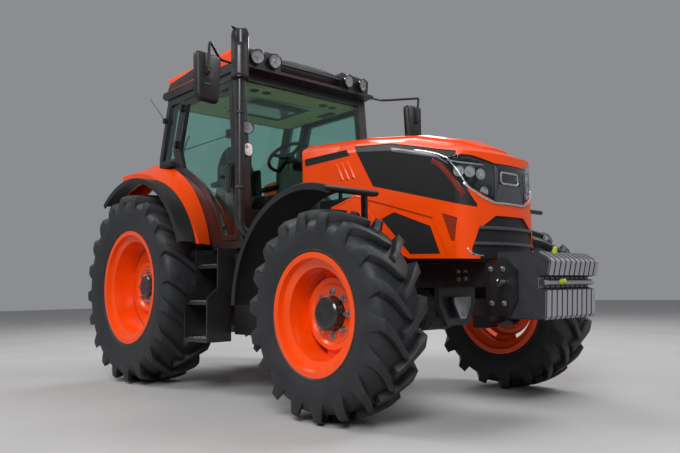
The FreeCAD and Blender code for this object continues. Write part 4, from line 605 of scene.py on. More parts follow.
# Headlights: moulded housings that wrap the hood's corners, with four polished reflectors each behind a
# clear cover. They are screwed to the hood from behind and swing up with it.
def node_copy(node):
    """A copy of a CAD node's mesh with its loose corners merged."""
    piece = bpy.data.objects.new("copy", nodes[node].data.copy())
    bpy.context.scene.collection.objects.link(piece)
    bpy.ops.object.select_all(action="DESELECT")
    piece.select_set(True)
    bpy.context.view_layer.objects.active = piece
    bpy.ops.object.mode_set(mode="EDIT")
    bpy.ops.mesh.select_all(action="SELECT")
    bpy.ops.mesh.remove_doubles(threshold=0.00005)
    bpy.ops.object.mode_set(mode="OBJECT")
    return piece


def lamp_front(centre, normal):
    """True for the faces of a headlight that look out of the hood."""
    return normal.dot(Vector((centre.x - HOOD_CORE.x, centre.y, 0)).normalized()) > 0.6


housing = node_copy("headlights")
faces_where(housing, lamp_front)
pushed(0.006, -0.024)
joined("headlight_housings", [housing], gloss_black, "hood", 35)
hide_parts("headlights")

# Lamp covers: hard-coated clear polycarbonate, very slightly smoky.
clear_cover = new_finish("clear_polycarbonate_cover", ("E4E8EA", "F4F6F7"), (NOISE, 80),
    surface={"IOR": 1.3, "Roughness": 0.02, "Transmission Weight": 1.0})
cover = node_copy("headlights")
faces_where(cover, lambda centre, normal: not lamp_front(centre, normal))
bpy.ops.mesh.delete(type="FACE")
bpy.ops.object.mode_set(mode="OBJECT")
walled(cover, 0.0025, -1)
joined("headlight_covers", [cover], clear_cover, "hood", 35)

# Reflectors: aluminium evaporated on polycarbonate, faceted like a fan so that they sparkle.
reflector = new_finish("evaporated_aluminium_reflector", ("FBFCFC", "D9DCDE"), (CELLS, 16),
    relief=(0.004, 0.7), surface={"Metallic": 0.55, "Roughness": 0.22})
headlight_bowls = [
    # place on the cover, radius
    ((1.86, -0.385, 1.53), 0.034), ((1.915, -0.34, 1.524), 0.036), ((1.942, -0.262, 1.512), 0.036),
    ((1.948, -0.24, 1.4), 0.033),
]
bowls = []
for place, radius in headlight_bowls:
    spot, outward = landed(Vector(place), -0.01)
    bowl = turned([(0.004, radius), (0.004, radius * 0.93), (-0.006, radius * 0.74), (-0.01, radius * 0.45),
        (-0.011, radius * 0.32), (0.001, radius * 0.26), (0.004, 0.0), (-0.014, 0.0),
        (-0.014, radius * 0.8)], 32, spot, outward)
    bowls += copied_both([bowl])
joined("headlight_reflectors", bowls, reflector, "hood", 25)

# Position lights: a thin white light guide along the top of each housing.
# Light guide: clear polycarbonate with moulded flutes that scatter the light, so it looks white.
lamp_lens = new_finish("clear_lamp_lens", ("F2F4F5", "B9BDC0"), (CELLS, 14),
    relief=(0.0012, 0.6),
    surface={"IOR": 1.58, "Roughness": 0.12, "Coat Weight": 1.0, "Coat Roughness": 0.03})
light_guide = laid_strip([(1.775, -0.4, 1.612), (1.86, -0.385, 1.588), (1.915, -0.34, 1.578),
    (1.945, -0.24, 1.572)], 0.008, 0.004, lift=-0.009)
joined("headlight_light_guides", copied_both([light_guide]), lamp_lens, "hood", 40)

# Front weights: cast suitcase weights hung side by side on the carrier and locked by a rod. Grey cast iron
# dipped in thin grey-black paint. Every face that looks forward is painted pale grey: a painted highlight for
# the light on the fronts.
weight_iron = new_finish("dipped_weight_iron", ("1D1E21", "38393E"), (NOISE, 50, {"Detail": 5.0}),
    relief=(0.0006, 0.6, NOISE, 6), surface={"IOR": 1.5, "Roughness": 0.42})
paint = weight_iron.node_tree.nodes["Principled BSDF"].inputs["Base Color"]
# Painted highlight: faces whose normal looks forward are mixed toward pale grey, whatever the light.
outward = add_node(weight_iron, "ShaderNodeNewGeometry").outputs["Normal"]
forward = add_node(weight_iron, "ShaderNodeSeparateXYZ", {}, {"Vector": outward}).outputs["X"]
front_face_highlight_mask = add_node(weight_iron, "ShaderNodeMapRange", {"From Min": 0.35, "From Max": 0.9, "To Max": 0.9},
    {"Value": forward})
painted_front_highlight = add_node(weight_iron, "ShaderNodeMix", {"data_type": "RGBA", 7: linear("9A9AA2")},
    {0: front_face_highlight_mask.outputs[0], 6: paint.links[0].from_socket})
weight_iron.node_tree.links.new(painted_front_highlight.outputs[2], paint)
dress(weight_iron, "front_weights")

# Work lamps: four round lamps in the roof's front corners, a round lamp and an oval marker lamp on a bracket
# beside each front post, and a lamp on each fender tail. Moulded bodies, bright bowls and clear lenses.
lamp_bodies, lamp_bowls, lamp_glasses = [], [], []
round_lamps = [
    # middle of the lamp, radius, the way it looks
    ((0.0, -0.609, 2.735), 0.064, (0.96, -0.25, -0.12)), ((0.0, -0.429, 2.735), 0.064, (0.98, -0.12, -0.14)),
    ((0.014, -0.722, 2.115), 0.056, (0.93, -0.36, -0.05)),
]
for middle, radius, toward in round_lamps:
    lamp_bodies.append(turned([(-0.034, 0.0), (-0.034, 0.018), (-0.026, 0.024), (-0.02, radius * 0.72),
        (-0.004, radius * 0.98), (0.01, radius), (0.013, radius * 0.97), (0.013, radius * 0.86),
        (0.006, radius * 0.84), (-0.01, radius * 0.7), (-0.016, 0.0)], 40, middle, toward))
    lamp_bowls.append(turned([(0.007, radius * 0.85), (-0.004, radius * 0.66), (-0.01, radius * 0.36),
        (-0.006, radius * 0.2), (0.002, radius * 0.16), (0.004, 0.0), (-0.014, 0.0),
        (-0.013, radius * 0.6)], 40, middle, toward))
    lamp_glasses.append(turned([(0.0085, radius * 0.85), (0.012, radius * 0.6), (0.014, 0.0), (0.0155, 0.0),
        (0.0135, radius * 0.62), (0.01, radius * 0.87)], 40, middle, toward))
marker_outline = rounded_box(-0.762, -0.676, 1.872, 1.988, 0.04)
marker = plate(marker_outline, "front", -0.01, 0.04, 0.004)
pressed(marker, (1, 0, 0), (0.006, -0.004))
lamp_bodies.append(marker)
marker_glass = plate(rounded_box(-0.755, -0.683, 1.88, 1.98, 0.034), "front", 0.026, 0.006, 0.002)
lamp_bowls.append(marker_glass)
bracket = plate([(-0.112, 1.905), (-0.018, 1.89), (-0.018, 2.13), (-0.06, 2.14), (-0.112, 2.1)], "side",
    -0.757, 0.012, 0.002)
pressed(bracket, (0, -1, 0), (0.012, -0.003))
lamp_bodies.append(bracket)
for height in (1.93, 2.115):
    arm = plate([(-0.04, -0.752), (-0.008, -0.74), (-0.008, -0.715), (-0.04, -0.728)], "top",
        height - 0.012, 0.024, 0.002)
    lamp_bodies.append(arm)
tail = plate(rounded_box(-0.92, -0.79, 1.71, 1.805, 0.014), "front", -1.8, 0.014, 0.003)
pressed(tail, (-1, 0, 0), (0.005, -0.003))
lamp_bodies.append(tail)
joined("work_lamp_bodies", copied_both(lamp_bodies), gloss_black, "chassis", 35)
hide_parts("work_lamps")
# Lamp bowls: polycarbonate with small facets and a soft gloss, painted plain white so that they stay pale at
# every
# angle: a painted reflection standing for the bright metallised bowl.
lamp_bowl_painted_reflection = new_finish("bowl_with_painted_reflection", ("FFFFFF", "C4C8CC"), (CELLS, 16),
    relief=(0.002, 0.6), surface={"IOR": 1.58, "Roughness": 0.2})
joined("work_lamp_reflectors", copied_both(lamp_bowls), lamp_bowl_painted_reflection, "chassis", 25)
joined("work_lamp_glasses", copied_both(lamp_glasses), clear_cover, "chassis", 35)

# Marker and tail lenses: acrylic moulded in amber and red, with fine prisms behind the skin.
amber_lens = new_finish("amber_acrylic_lens", ("F08A12", "C45A04"), (CELLS, 4, {"Randomness": 0.0}),
    relief=(0.0005, 0.6), surface={"IOR": 1.49, "Roughness": 0.12, "Coat Weight": 0.6})
amber = [turned([(0.0, 0.0), (0.0, 0.013), (0.004, 0.011), (0.006, 0.0)], 24, (0.032, -0.734, 1.952),
    (1, 0, 0)), plate(rounded_box(-0.852, -0.798, 1.718, 1.797, 0.01), "front", -1.806, 0.009, 0.002)]
joined("amber_lenses", copied_both(amber), amber_lens, "chassis", 35)
red_lens = new_finish("red_acrylic_lens", ("C41210", "6E0606"), (CELLS, 4, {"Randomness": 0.0}),
    relief=(0.0005, 0.6), surface={"IOR": 1.49, "Roughness": 0.12, "Coat Weight": 0.6})
red = [plate(rounded_box(-0.913, -0.857, 1.718, 1.797, 0.01), "front", -1.806, 0.009, 0.002)]
joined("red_tail_lenses", copied_both(red), red_lens, "chassis", 35)

# Roof front: a black moulded fascia closes the front of the roof cap between the lamps.
fascia = plate(rounded([(-0.338, 2.7), (0.338, 2.7), (0.338, 2.79), (0.2, 2.812), (-0.2, 2.812),
    (-0.338, 2.79)], 0.012), "front", -0.092, 0.016, 0.004)
joined("roof_front_fascia", [fascia], grained_plastic, "chassis", 35)

# Roof trim: a bare black louvred panel let into each side of the roof cap, moulded covers at the feet of the
# rear posts, and an aerial on the right rear post.
side_panel = plate([(-1.285, 2.714), (-1.235, 2.772), (-0.8, 2.812), (-0.4, 2.818), (-0.372, 2.745),
    (-0.88, 2.716)], "side", -0.7485, 0.006, 0.002)
pressed(side_panel, (0, -1, 0), (0.008, -0.002))
slats = [plate([(start, 2.735), (start + 0.012, 2.735), (start + 0.03, 2.785), (start + 0.018, 2.785)],
    "side", -0.7495, 0.003, 0.001) for start in [-1.1 + 0.045 * k for k in range(14)]]
cover_piece = plate(rounded([(-1.335, 1.952), (-1.12, 1.952), (-1.128, 2.004), (-1.322, 2.004)], 0.012),
    "side", -0.8, 0.056, 0.005)
joined("roof_side_panels", copied_both([side_panel] + slats), gloss_black, "chassis", 35)
joined("pillar_covers", copied_both([cover_piece]), grained_plastic, "chassis", 35)


def rod_along(points, radius):
    """Round bar that follows a line of places with eased bends."""
    curve = bpy.data.curves.new("rod", "CURVE")
    curve.dimensions = "3D"
    spline = curve.splines.new("NURBS")
    spline.points.add(len(points) - 1)
    for corner, point in zip(spline.points, points):
        corner.co = (*point, 1)
    spline.order_u = 3
    spline.use_endpoint_u = True
    curve.bevel_depth = radius
    curve.bevel_resolution = 3
    curve.use_fill_caps = True
    bar = bpy.data.objects.new("rod", curve)
    bpy.context.scene.collection.objects.link(bar)
    bpy.ops.object.select_all(action="DESELECT")
    bar.select_set(True)
    bpy.context.view_layer.objects.active = bar
    bpy.ops.object.convert(target="MESH")
    return bpy.context.object


aerial_foot = plate(rounded_box(-1.33, -1.296, 2.4, 2.45, 0.008), "side", -0.775, 0.03, 0.003)
aerial_rod = rod_along([(-1.312, -0.766, 2.44), (-1.4, -0.768, 2.52), (-1.59, -0.775, 2.7)], 0.004)
joined("aerial", [aerial_foot, aerial_rod], grained_plastic, "chassis", 40)

# Mirrors: a clamp on the visor, a bent steel arm, and a moulded head with a dished front where the arm's
# pivot sits. The glass is let into the rear face.
head_outline = rounded([(-1.27, 2.225), (-1.072, 2.212), (-1.052, 2.59), (-1.278, 2.604)], 0.045)
head = plate(head_outline, "front", 0.112, 0.03, 0)
pressed(head, (1, 0, 0), (0.012, 0.018), (0.014, 0.006))
softened(head, 0.004, 2, 25)
dish = plate(rounded([(-1.226, 2.388), (-1.146, 2.388), (-1.14, 2.48), (-1.232, 2.48)], 0.024), "front",
    0.163, 0.005, 0)
pressed(dish, (1, 0, 0), (0.01, 0.002), (0.008, -0.01))
pivot = turned([(0.0, 0.0), (0.0, 0.022), (0.014, 0.02), (0.022, 0.014), (0.024, 0.0)], 32,
    (0.164, -1.186, 2.44), (1, 0, 0))
rib = plate(rounded_box(-1.216, -1.156, 2.336, 2.356, 0.008), "front", 0.164, 0.005, 0.002)
arm = rod_along([(-0.06, -0.775, 2.652), (-0.06, -0.85, 2.652), (-0.06, -0.935, 2.654),
    (0.02, -1.01, 2.656), (0.15, -1.13, 2.66), (0.184, -1.165, 2.662), (0.2, -1.186, 2.662),
    (0.196, -1.188, 2.64), (0.186, -1.186, 2.56), (0.186, -1.186, 2.44)], 0.011)
foot = plate(rounded_box(-0.09, -0.03, 2.636, 2.668, 0.006), "side", -0.786, 0.026, 0.003)
joined("mirror_heads", copied_both([head, dish, pivot, rib, arm, foot]), grained_plastic, "chassis", 30)
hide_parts("mirrors")
# Mirror glass: silvered on its back, so it mirrors sharply with a faint blue-grey cast.
mirror_silver = new_finish("silvered_mirror_glass", ("C8CED2", "D6DBDE"), (NOISE, 120),
    surface={"Metallic": 1.0, "Roughness": 0.04})
glass_plate = plate(rounded([(-1.262, 2.236), (-1.082, 2.226), (-1.064, 2.578), (-1.266, 2.59)], 0.036),
    "front", 0.109, 0.005, 0.001)
joined("mirror_glasses", copied_both([glass_plate]), mirror_silver, "chassis", 35)

# Exhaust: band clamps round the pipe and the shield, each drawn tight by a bolt.
clamps = []
for height, radius in ((1.6, 0.036), (2.2, 0.036), (2.5, 0.071)):
    clamps.append(turned([(-0.012, radius - 0.002), (-0.012, radius + 0.002), (-0.009, radius + 0.004),
        (0.009, radius + 0.004), (0.012, radius + 0.002), (0.012, radius - 0.002)], 40,
        (0.085, -0.84, height), (0, 0, 1)))
    clamps.append(turned([(-0.016, 0.0), (-0.016, 0.006), (0.016, 0.006), (0.018, 0.01), (0.026, 0.01),
        (0.026, 0.0)], 12, (0.085 + radius * 0.72, -0.84 - radius * 0.8, height), (0.74, 0.67, 0)))
joined("exhaust_clamps", clamps, powder_coat, "chassis", 30)

# Doors: round knobs that hold the glass, a backing plate under the grip and a push button in it.
knob_section = [(0.0, 0.0), (0.0, 0.017), (0.006, 0.018), (0.012, 0.014), (0.02, 0.013), (0.024, 0.008),
    (0.025, 0.0)]
for side in ("right", "left"):
    knobs = [turned(knob_section, 24, (x, -0.728, z), (0, -1, 0)) for x,
        z in ((-0.307, 1.331), (-0.345, 1.76), (-1.02, 1.96))]
    knobs.append(plate(rounded_box(-0.212, -0.15, 1.6, 1.855, 0.012), "side", -0.77, 0.006, 0.002))
    knobs.append(plate(rounded_box(-0.194, -0.166, 1.828, 1.846, 0.006), "side", -0.778, 0.009, 0.002))
    if side == "left":
        knobs = [copied(knob, MIRROR_SIDE)[0] for knob in knobs]
    joined(f"door_fittings_{side}", knobs, grained_plastic, f"door_{side}", 35)

# Rear wiper: a motor box on top of the rear window's inner side, with an arm and a rubber blade outside.
wiper_box = plate(rounded_box(-0.085, 0.055, 2.352, 2.44, 0.014), "front", -1.3, 0.05, 0.006)
wiper_arm = rod_along([(-1.33, -0.02, 2.395), (-1.36, -0.2, 2.32), (-1.392, -0.5, 2.19)], 0.005)
wiper_blade = rod_along([(-1.345, -0.47, 2.33), (-1.385, -0.52, 2.21), (-1.42, -0.5, 2.08)], 0.006)
joined("rear_wiper", [wiper_box, wiper_arm, wiper_blade], grained_plastic, "chassis", 40)

# Headliner fittings: round air vents in its front corners, switch panels, and a glazed hatch with its blind.
vents = []
for x, y in ((-0.262, -0.33), (-0.268, -0.455)):
    vents.append(turned([(0.0, 0.028), (0.0, 0.04), (0.004, 0.042), (0.008, 0.038), (0.008, 0.028)], 32,
        (x, y, 2.541), (0, 0, -1)))
    vents.append(turned([(0.0, 0.0), (0.0, 0.027), (0.003, 0.026), (0.004, 0.0)], 32, (x, y, 2.5405),
        (0, 0, -1)))
vents.append(plate(rounded_box(-0.62, -0.4, -0.63, -0.55, 0.012), "top", 2.53, 0.011, 0.003))
hatch = plate(rounded_box(-0.98, -0.4, -0.34, 0.34, 0.05), "top", 2.53, 0.011, 0.003)
pressed(hatch, (0, 0, -1), (0.03, -0.006))
blind = plate(rounded_box(-0.6, -0.44, -0.3, 0.3, 0.02), "top", 2.527, 0.007, 0.002)
joined("headliner_vents", copied_both(vents) + [blind], grained_plastic, "chassis", 35)
# Frosted acrylic: pale green-grey, with a blurred gloss.
hatch_acrylic = new_finish("frosted_hatch_acrylic", ("9CAA92", "B9C4AC"), (NOISE, 150),
    surface={"IOR": 1.49, "Roughness": 0.25, "Coat Weight": 0.5})
joined("roof_hatch", [hatch], hatch_acrylic, "chassis", 35)

# Driver's seat: foam cushions under woven cloth on a sprung base. Each pad is a slightly
# smaller block that a cloth simulation swells.
CLOTH_CELL = 0.008
CLOTH_STEPS = 20
MOST_SWELL = 0.022


def stuffed(low, high, radius):
    """Closed pad that swells between two corners of a box."""
    middle = [(a + b) / 2 for a, b in zip(low, high)]
    bpy.ops.object.select_all(action="DESELECT")
    bpy.ops.mesh.primitive_cube_add(size=1, location=middle, scale=[b - a for a, b in zip(low, high)])
    pad = bpy.context.object
    bpy.ops.object.transform_apply(location=True, rotation=True, scale=True)
    softened(pad, radius, 4)
    remesh = pad.modifiers.new("even_cloth", "REMESH")
    remesh.mode = "VOXEL"
    remesh.voxel_size = CLOTH_CELL
    bpy.ops.object.modifier_apply(modifier="even_cloth")
    start = [corner.co.copy() for corner in pad.data.vertices]
    cloth = pad.modifiers.new("filling", "CLOTH")
    cloth.settings.use_pressure = True
    cloth.settings.uniform_pressure_force = 4
    cloth.settings.effector_weights.gravity = 0
    for step in range(1, CLOTH_STEPS + 1):
        bpy.context.scene.frame_set(step)
    swollen = pad.evaluated_get(bpy.context.evaluated_depsgraph_get()).data
    ends = [corner.co.copy() for corner in swollen.vertices]
    pad.modifiers.remove(cloth)
    bpy.context.scene.frame_set(1)
    for corner, first, last in zip(pad.data.vertices, start, ends):
        shift = last - first
        corner.co = first + (shift.normalized() * MOST_SWELL if shift.length > MOST_SWELL else shift)
    rounding = pad.modifiers.new("smooth_cloth", "SUBSURF")
    rounding.levels = rounding.render_levels = 1
    bpy.context.view_layer.objects.active = pad
    bpy.ops.object.modifier_apply(modifier="smooth_cloth")
    bpy.ops.object.shade_smooth()
    return pad


pads = [
    # name, low corner, high corner, edge radius
    ("seat_cushion", (-1.12, -0.17, 1.575), (-0.655, 0.17, 1.668), 0.03),
    ("seat_bolster_right", (-1.105, -0.245, 1.575), (-0.67, -0.178, 1.682), 0.028),
    ("seat_bolster_left", (-1.105, 0.178, 1.575), (-0.67, 0.245, 1.682), 0.028),
    ("seat_backrest", (-1.235, -0.16, 1.69), (-1.13, 0.16, 2.06), 0.03),
    ("seat_wing_right", (-1.225, -0.225, 1.7), (-1.105, -0.168, 2.03), 0.026),
    ("seat_wing_left", (-1.225, 0.168, 1.7), (-1.105, 0.225, 2.03), 0.026),
    ("seat_headrest", (-1.225, -0.14, 2.085), (-1.145, 0.14, 2.235), 0.028),
]
for name, low, high, radius in pads:
    pad = joined(name, [stuffed(low, high, radius)], seat_cloth, "chassis", 180)
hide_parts("seat")

# Seat shell and armrests: a moulded back shell behind the pads, and armrests on both sides of it.
shell = plate(rounded([(-0.215, 1.64), (0.215, 1.64), (0.205, 2.06), (0.13, 2.225), (-0.13, 2.225),
    (-0.205, 2.06)], 0.05), "front", -1.254, 0.022, 0.006)
tray = plate(rounded_box(-1.15, -0.68, -0.235, 0.235, 0.05), "top", 1.56, 0.022, 0.006)
armrests = [plate(rounded([(-1.19, 1.8), (-0.86, 1.815), (-0.85, 1.86), (-1.19, 1.85)], 0.02), "side", y,
    0.06, 0.012) for y in (-0.325, 0.265)]
brackets = [plate([(-1.225, 1.7), (-1.185, 1.7), (-1.14, 1.81), (-1.19, 1.82)], "side", y, 0.014, 0.003)
    for y in (-0.255, 0.241)]
joined("seat_shell_and_arms", [shell, tray] + armrests + brackets, grained_plastic, "chassis", 35)

# Side console: a moulded grey panel with a dished side, on a leg to the driver's right, and five levers
# with gloss black knobs beside the seat.
console = plate(rounded([(-0.78, 1.7), (-0.47, 1.7), (-0.45, 1.935), (-0.8, 1.935)], 0.03), "side", -0.47,
    0.05, 0.01)
pressed(console, (0, -1, 0), (0.02, -0.008))
leg = plate([(-0.7, 1.3), (-0.56, 1.3), (-0.53, 1.72), (-0.72, 1.72)], "side", -0.46, 0.036, 0.008)
joined("side_console_panel", [console, leg], grey_trim, "chassis", 35)
levers = [turned([(0.0, 0.0), (0.0, 0.008), (0.045, 0.006), (0.052, 0.014), (0.075, 0.018), (0.092, 0.013),
    (0.096, 0.0)], 20, (x, y, 1.678), (0.18, 0, 1)) for x, y in ((-0.95, -0.37), (-0.86, -0.4),
    (-0.86, -0.34), (-0.76, -0.37), (-0.7, -0.4))]
joined("console_levers", levers, gloss_black, "chassis", 40)

# Steering column: a cluster with round dials on the dash, a boss cap and stalks at the wheel.
cluster = plate(rounded([(-0.15, 1.84), (0.15, 1.84), (0.13, 1.96), (-0.13, 1.96)], 0.03), "front", -0.2,
    0.075, 0.008)
pressed(cluster, (-1, 0, 0), (0.012, -0.006))
dials = [turned([(0.0, 0.0), (0.0, radius), (0.004, radius), (0.004, radius * 0.9), (0.001, radius * 0.88),
    (0.001, 0.0)], 32, (-0.196, y, 1.902), (-1, 0, 0)) for y, radius in ((-0.078, 0.032), (0.0, 0.04),
    (0.078, 0.032))]
joined("dash_cluster", [cluster] + dials, gloss_black, "chassis", 35)
stalks = [rod_along([(-0.33, 0, 1.965), (-0.315, y / 2, 1.975), (-0.33, y, 1.99)], 0.007)
    for y in (-0.15, 0.15)]
joined("column_stalks", stalks, grained_plastic, "chassis", 40)
lean = Vector((-0.5, 0, 0.866))
hub = Vector((-0.355, 0, 2.01))
boss = turned([(0.018, 0.0), (0.018, 0.046), (0.024, 0.048), (0.032, 0.04), (0.036, 0.0)], 36, hub, lean)
joined("steering_wheel_boss", [boss], grey_trim, "steering_wheel", 35)

# Pedals: bent arms with moulded, dished pads, all black, hung in the foot space of the cab.
pedals = []
for y in (-0.19, -0.1, 0.16):
    pad = plate(rounded_box(y - 0.034, y + 0.034, 1.32, 1.4, 0.012), "front", -0.345, 0.014, 0.003)
    pressed(pad, (-1, 0, 0), (0.006, -0.003))
    pedals += [pad, rod_along([(-0.334, y, 1.36), (-0.3, y, 1.42), (-0.25, y * 0.9, 1.56)], 0.008)]
joined("pedals", pedals, grained_plastic, "chassis", 35)

# Steps: each rung carries a pressed aluminium tread with rows of raised, open studs for grip.
# Pressed aluminium: pale and dull silver, scuffed darker where boots tread.
tread_alloy = new_finish("pressed_tread_aluminium", ("6E7072", "9A9C9F"), (NOISE, 35, {"Detail": 5.0}),
    gloss=(0.35, 0.55), surface={"Metallic": 0.9})
rungs = [
    # low y, high y, height of the rung
    (0.815, 0.985, 0.431), (0.795, 0.97, 0.721), (0.655, 0.875, 1.011),
]
stud_section = [(0.0, 0.0045), (0.0, 0.009), (0.003, 0.008), (0.0045, 0.0055), (0.0035, 0.0045)]
STUD_ROOM = 0.04
treads = []
for inner, outer, height in rungs:
    sheet = plate(rounded_box(-0.46, -0.145, -outer, -inner, 0.008), "top", height - 0.001, 0.004, 0.001)
    treads.append(sheet)
    stud = turned(stud_section, 10, (0, 0, height + 0.003), (0, 0, 1))
    across = round((outer - inner) / STUD_ROOM)
    gap = (outer - inner - STUD_ROOM) / (across - 1)
    spots = [(-0.44 + 0.039 * i, -outer + STUD_ROOM / 2 + gap * j, 0) for i in range(8)
        for j in range(across)]
    treads += copied(stud, *[Matrix.Translation(spot) for spot in spots])
joined("step_treads", copied_both(treads), tread_alloy, "chassis", 35)

# Frame bolts: flanged hexagon screws along the front frame and on the weight carrier.
def hex_screw():
    """One screw head on its flange, looking along +Z."""
    bpy.ops.object.select_all(action="DESELECT")
    bpy.ops.mesh.primitive_cylinder_add(vertices=6, radius=0.0125, depth=0.01, location=(0, 0, 0.008))
    head = bpy.context.object
    bpy.ops.object.transform_apply(location=True)
    pressed(head, (0, 0, 1), (0.0025, 0.0015))
    washer = turned([(0.0, 0.0), (0.0, 0.0175), (0.002, 0.017), (0.0035, 0.0125), (0.0035, 0.0)], 20,
        (0, 0, 0), (0, 0, 1))
    return joined("screw", [head, washer], zinc_plate, "chassis")


OUT = Matrix.Rotation(math.radians(90), 4, "X")
side_screws = [(x, -0.201, z) for x in (1.69, 1.745) for z in (0.855, 0.905)]
side_screws += [(x, -0.201, z) for x in (0.9, 1.05, 1.2) for z in (0.82, 0.9)]
side_screws += [(2.105, -0.311, 0.905), (2.02, -0.311, 0.7), (2.105, -0.311, 0.7), (2.02, -0.311, 0.905)]
screws = copied(hex_screw(), *[Matrix.Translation(spot) @ OUT for spot in side_screws])
joined("frame_screws", copied_both(screws), zinc_plate, "chassis", 30)

# Weight lock: the turned ends of the rod through the weights with a ring on each, zinc plated, and two
# spring pins whose moulded collars are yellow-green.
lock_pin = turned([(0.0, 0.0), (0.0, 0.012), (0.01, 0.014), (0.02, 0.014), (0.03, 0.008), (0.06, 0.008),
    (0.06, 0.0)], 20, (2.118, -0.311, 0.827), (0, -1, 0))
eye = turned([(-0.004, 0.016), (-0.004, 0.026), (0.004, 0.026), (0.004, 0.016)], 24, (2.118, -0.366, 0.827),
    (1, 0, 0))
joined("weight_lock_bolts", copied_both([lock_pin, eye]), zinc_plate, "chassis", 35)
# Nylon moulded in yellow-green, half matt.
collar_plastic = new_finish("yellow_green_nylon", ("A0A813", "C9CF2A"), (NOISE, 15),
    surface={"IOR": 1.53, "Roughness": 0.42})
collars = [turned([(0.0, 0.006), (0.0, 0.014), (0.014, 0.016), (0.03, 0.012), (0.036, 0.013),
    (0.04, 0.006)], 20, spot, way) for spot, way in (((2.372, -0.125, 0.822), (1, 0, 0.2)),
    ((2.342, -0.12, 0.992), (0.2, 0, 1)))]
joined("weight_pin_collars", collars, collar_plastic, "chassis", 35)

# Front hanger: a forged V-shaped bracket screwed under the middle of the frame's front end, with a pin
# through its foot.
hanger = plate(rounded([(-0.105, 0.735), (0.085, 0.735), (0.08, 0.69), (0.022, 0.585), (-0.042, 0.585),
    (-0.1, 0.69)], 0.012), "front", 1.545, 0.026, 0.004)
pressed(hanger, (1, 0, 0), (0.014, -0.006))
pin = turned([(0.0, 0.0), (0.0, 0.02), (0.012, 0.02), (0.016, 0.012), (0.024, 0.012), (0.026, 0.0)], 20,
    (1.55, -0.01, 0.622), (1, 0, 0))
# The hanger takes the weight iron, with its painted highlight on the faces that look forward.
joined("front_hanger", [hanger, pin], weight_iron, "chassis", 35)

# Side tanks: a moulded screw cap with a raised grip on the filler of each tank.
cap = turned([(0.0, 0.0), (0.0, 0.055), (0.008, 0.058), (0.03, 0.056), (0.036, 0.05), (0.038, 0.018),
    (0.046, 0.014), (0.046, 0.0)], 36, (0.16, -0.62, 1.088), (0, 0, 1))
joined("tank_caps", copied_both([cap]), grained_plastic, "chassis", 35)

# Front fenders: a rolled lip along the outer edge, which keeps the moulding from fluttering, and a bent
# tube stay that is clamped to its front edge.
# degrees from straight up, degrees a step, steps
LIP_START, LIP_TURN, LIP_STEPS = -66, 5.4, 25
for side, hand in (("right", -1), ("left", 1)):
    mesh = nodes[f"front_fender_{side}"].data
    skin_tree = BVHTree.FromPolygons([corner.co.copy() for corner in mesh.vertices],
        [tuple(face.vertices) for face in mesh.polygons])
    middle = Vector((1.283, hand * 0.95, 0.65))
    lip_places = []
    for step in range(LIP_STEPS):
        turn = math.radians(LIP_START + LIP_TURN * step)
        outward = Vector((math.sin(turn), 0, math.cos(turn)))
        for across in (1.098, 1.09, 1.08):
            spot, normal = skin_tree.ray_cast(Vector((middle.x, hand * across, middle.z)) + outward * 1.6,
                -outward)[:2]
            if spot and (spot - middle).length < 1.0:
                lip_places.append(spot + outward * 0.002)
                break
    lip = rod_along(lip_places, 0.006)
    stay = rod_along([(x, hand * y, z) for x, y, z in ((1.44, 0.735, 1.402), (1.47, 0.735, 1.401),
        (1.484, 0.748, 1.4), (1.484, 0.95, 1.401), (1.484, 1.19, 1.4))], 0.018)
    joined(f"front_fender_lip_{side}", [lip, stay], grained_plastic, f"knuckle_{side}", 60)

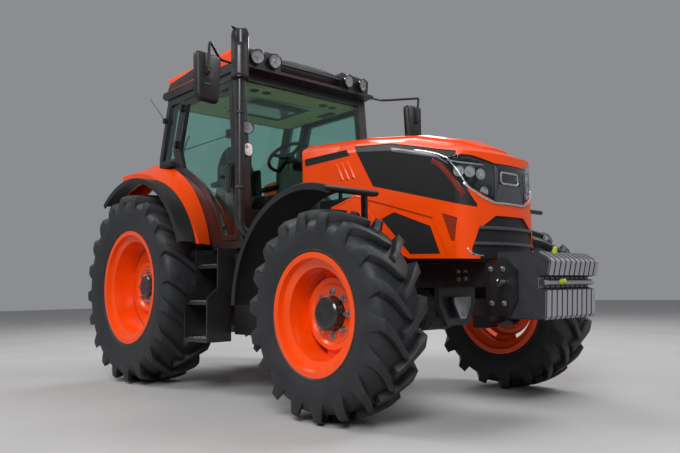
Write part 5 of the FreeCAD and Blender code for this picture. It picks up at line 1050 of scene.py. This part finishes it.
# Studio: a plain pale floor, a dim and even surround, and four soft lamps round the tractor. The lamps
# can't be seen through glass, where they would lie as a veil over the cab.
# Floor paint: pale grey and matt, with a faint drift of tone over metres.
floor_paint = new_finish("pale_studio_floor", ("A9A8A8", "B9B8B7"), (NOISE, 900, {"Detail": 3.0}),
    surface={"Roughness": 0.7})
bpy.ops.object.select_all(action="DESELECT")
bpy.ops.mesh.primitive_plane_add(size=60, location=(0, 0, 0))
floor = bpy.context.object
floor.name = "studio_floor"
floor.data.materials.append(floor_paint)

world = bpy.data.worlds.new("studio_surround")
bpy.context.scene.world = world
world.use_nodes = True
sky = world.node_tree.nodes["Background"]
sky.inputs["Color"].default_value = (0.93, 0.95, 1.0, 1.0)
sky.inputs["Strength"].default_value = 0.28

lamps = [
    # name, place, target, size, watts
    ("key_softbox", (6.5, -7.5, 7.5), (0, 0, 1.0), 4.5, 860),
    ("front_left_softbox", (4.5, 5.0, 9.0), (0.5, 0, 1.0), 4.5, 480),
    ("rear_right_softbox", (-5.0, -6.0, 9.0), (-0.5, 0, 1.2), 4.5, 480),
    ("rear_left_softbox", (-7.0, 7.0, 6.5), (0, 0, 1.2), 5.0, 400),
]
for name, spot, target, width, watts in lamps:
    light = bpy.data.lights.new(name, "AREA")
    light.size = width
    light.energy = watts
    lamp = bpy.data.objects.new(name, light)
    bpy.context.scene.collection.objects.link(lamp)
    lamp.location = spot
    lamp.visible_transmission = False
    lamp.rotation_euler = (Vector(target) - Vector(spot)).to_track_quat("-Z", "Y").to_euler()

# Camera: 0.8 m above the floor, ahead of the tractor and to its right, as the two right wheels show it.
eye = (4.428, -3.747, 0.803)
azimuth, elevation, roll = math.radians(47.626), math.radians(-6.387), math.radians(-0.932)
level = math.cos(elevation)
back = Vector((math.sin(azimuth) * level, -math.cos(azimuth) * level, math.sin(elevation)))
right = (-back).cross(Vector((0, 0, 1))).normalized()
up = right.cross(-back)
right_rolled = right * math.cos(roll) + up * math.sin(roll)
up_rolled = up * math.cos(roll) - right * math.sin(roll)
camera_data = bpy.data.cameras.new("photo_camera")
camera = bpy.data.objects.new("photo_camera", camera_data)
bpy.context.scene.collection.objects.link(camera)
turn = Matrix((right_rolled, up_rolled, back)).transposed().to_4x4()
camera.matrix_world = Matrix.Translation(eye) @ turn
camera_data.sensor_width = 36
camera_data.lens = 35.368
camera_data.shift_y = -0.01844
bpy.context.scene.camera = camera
bpy.context.scene.view_settings.view_transform = "Standard"
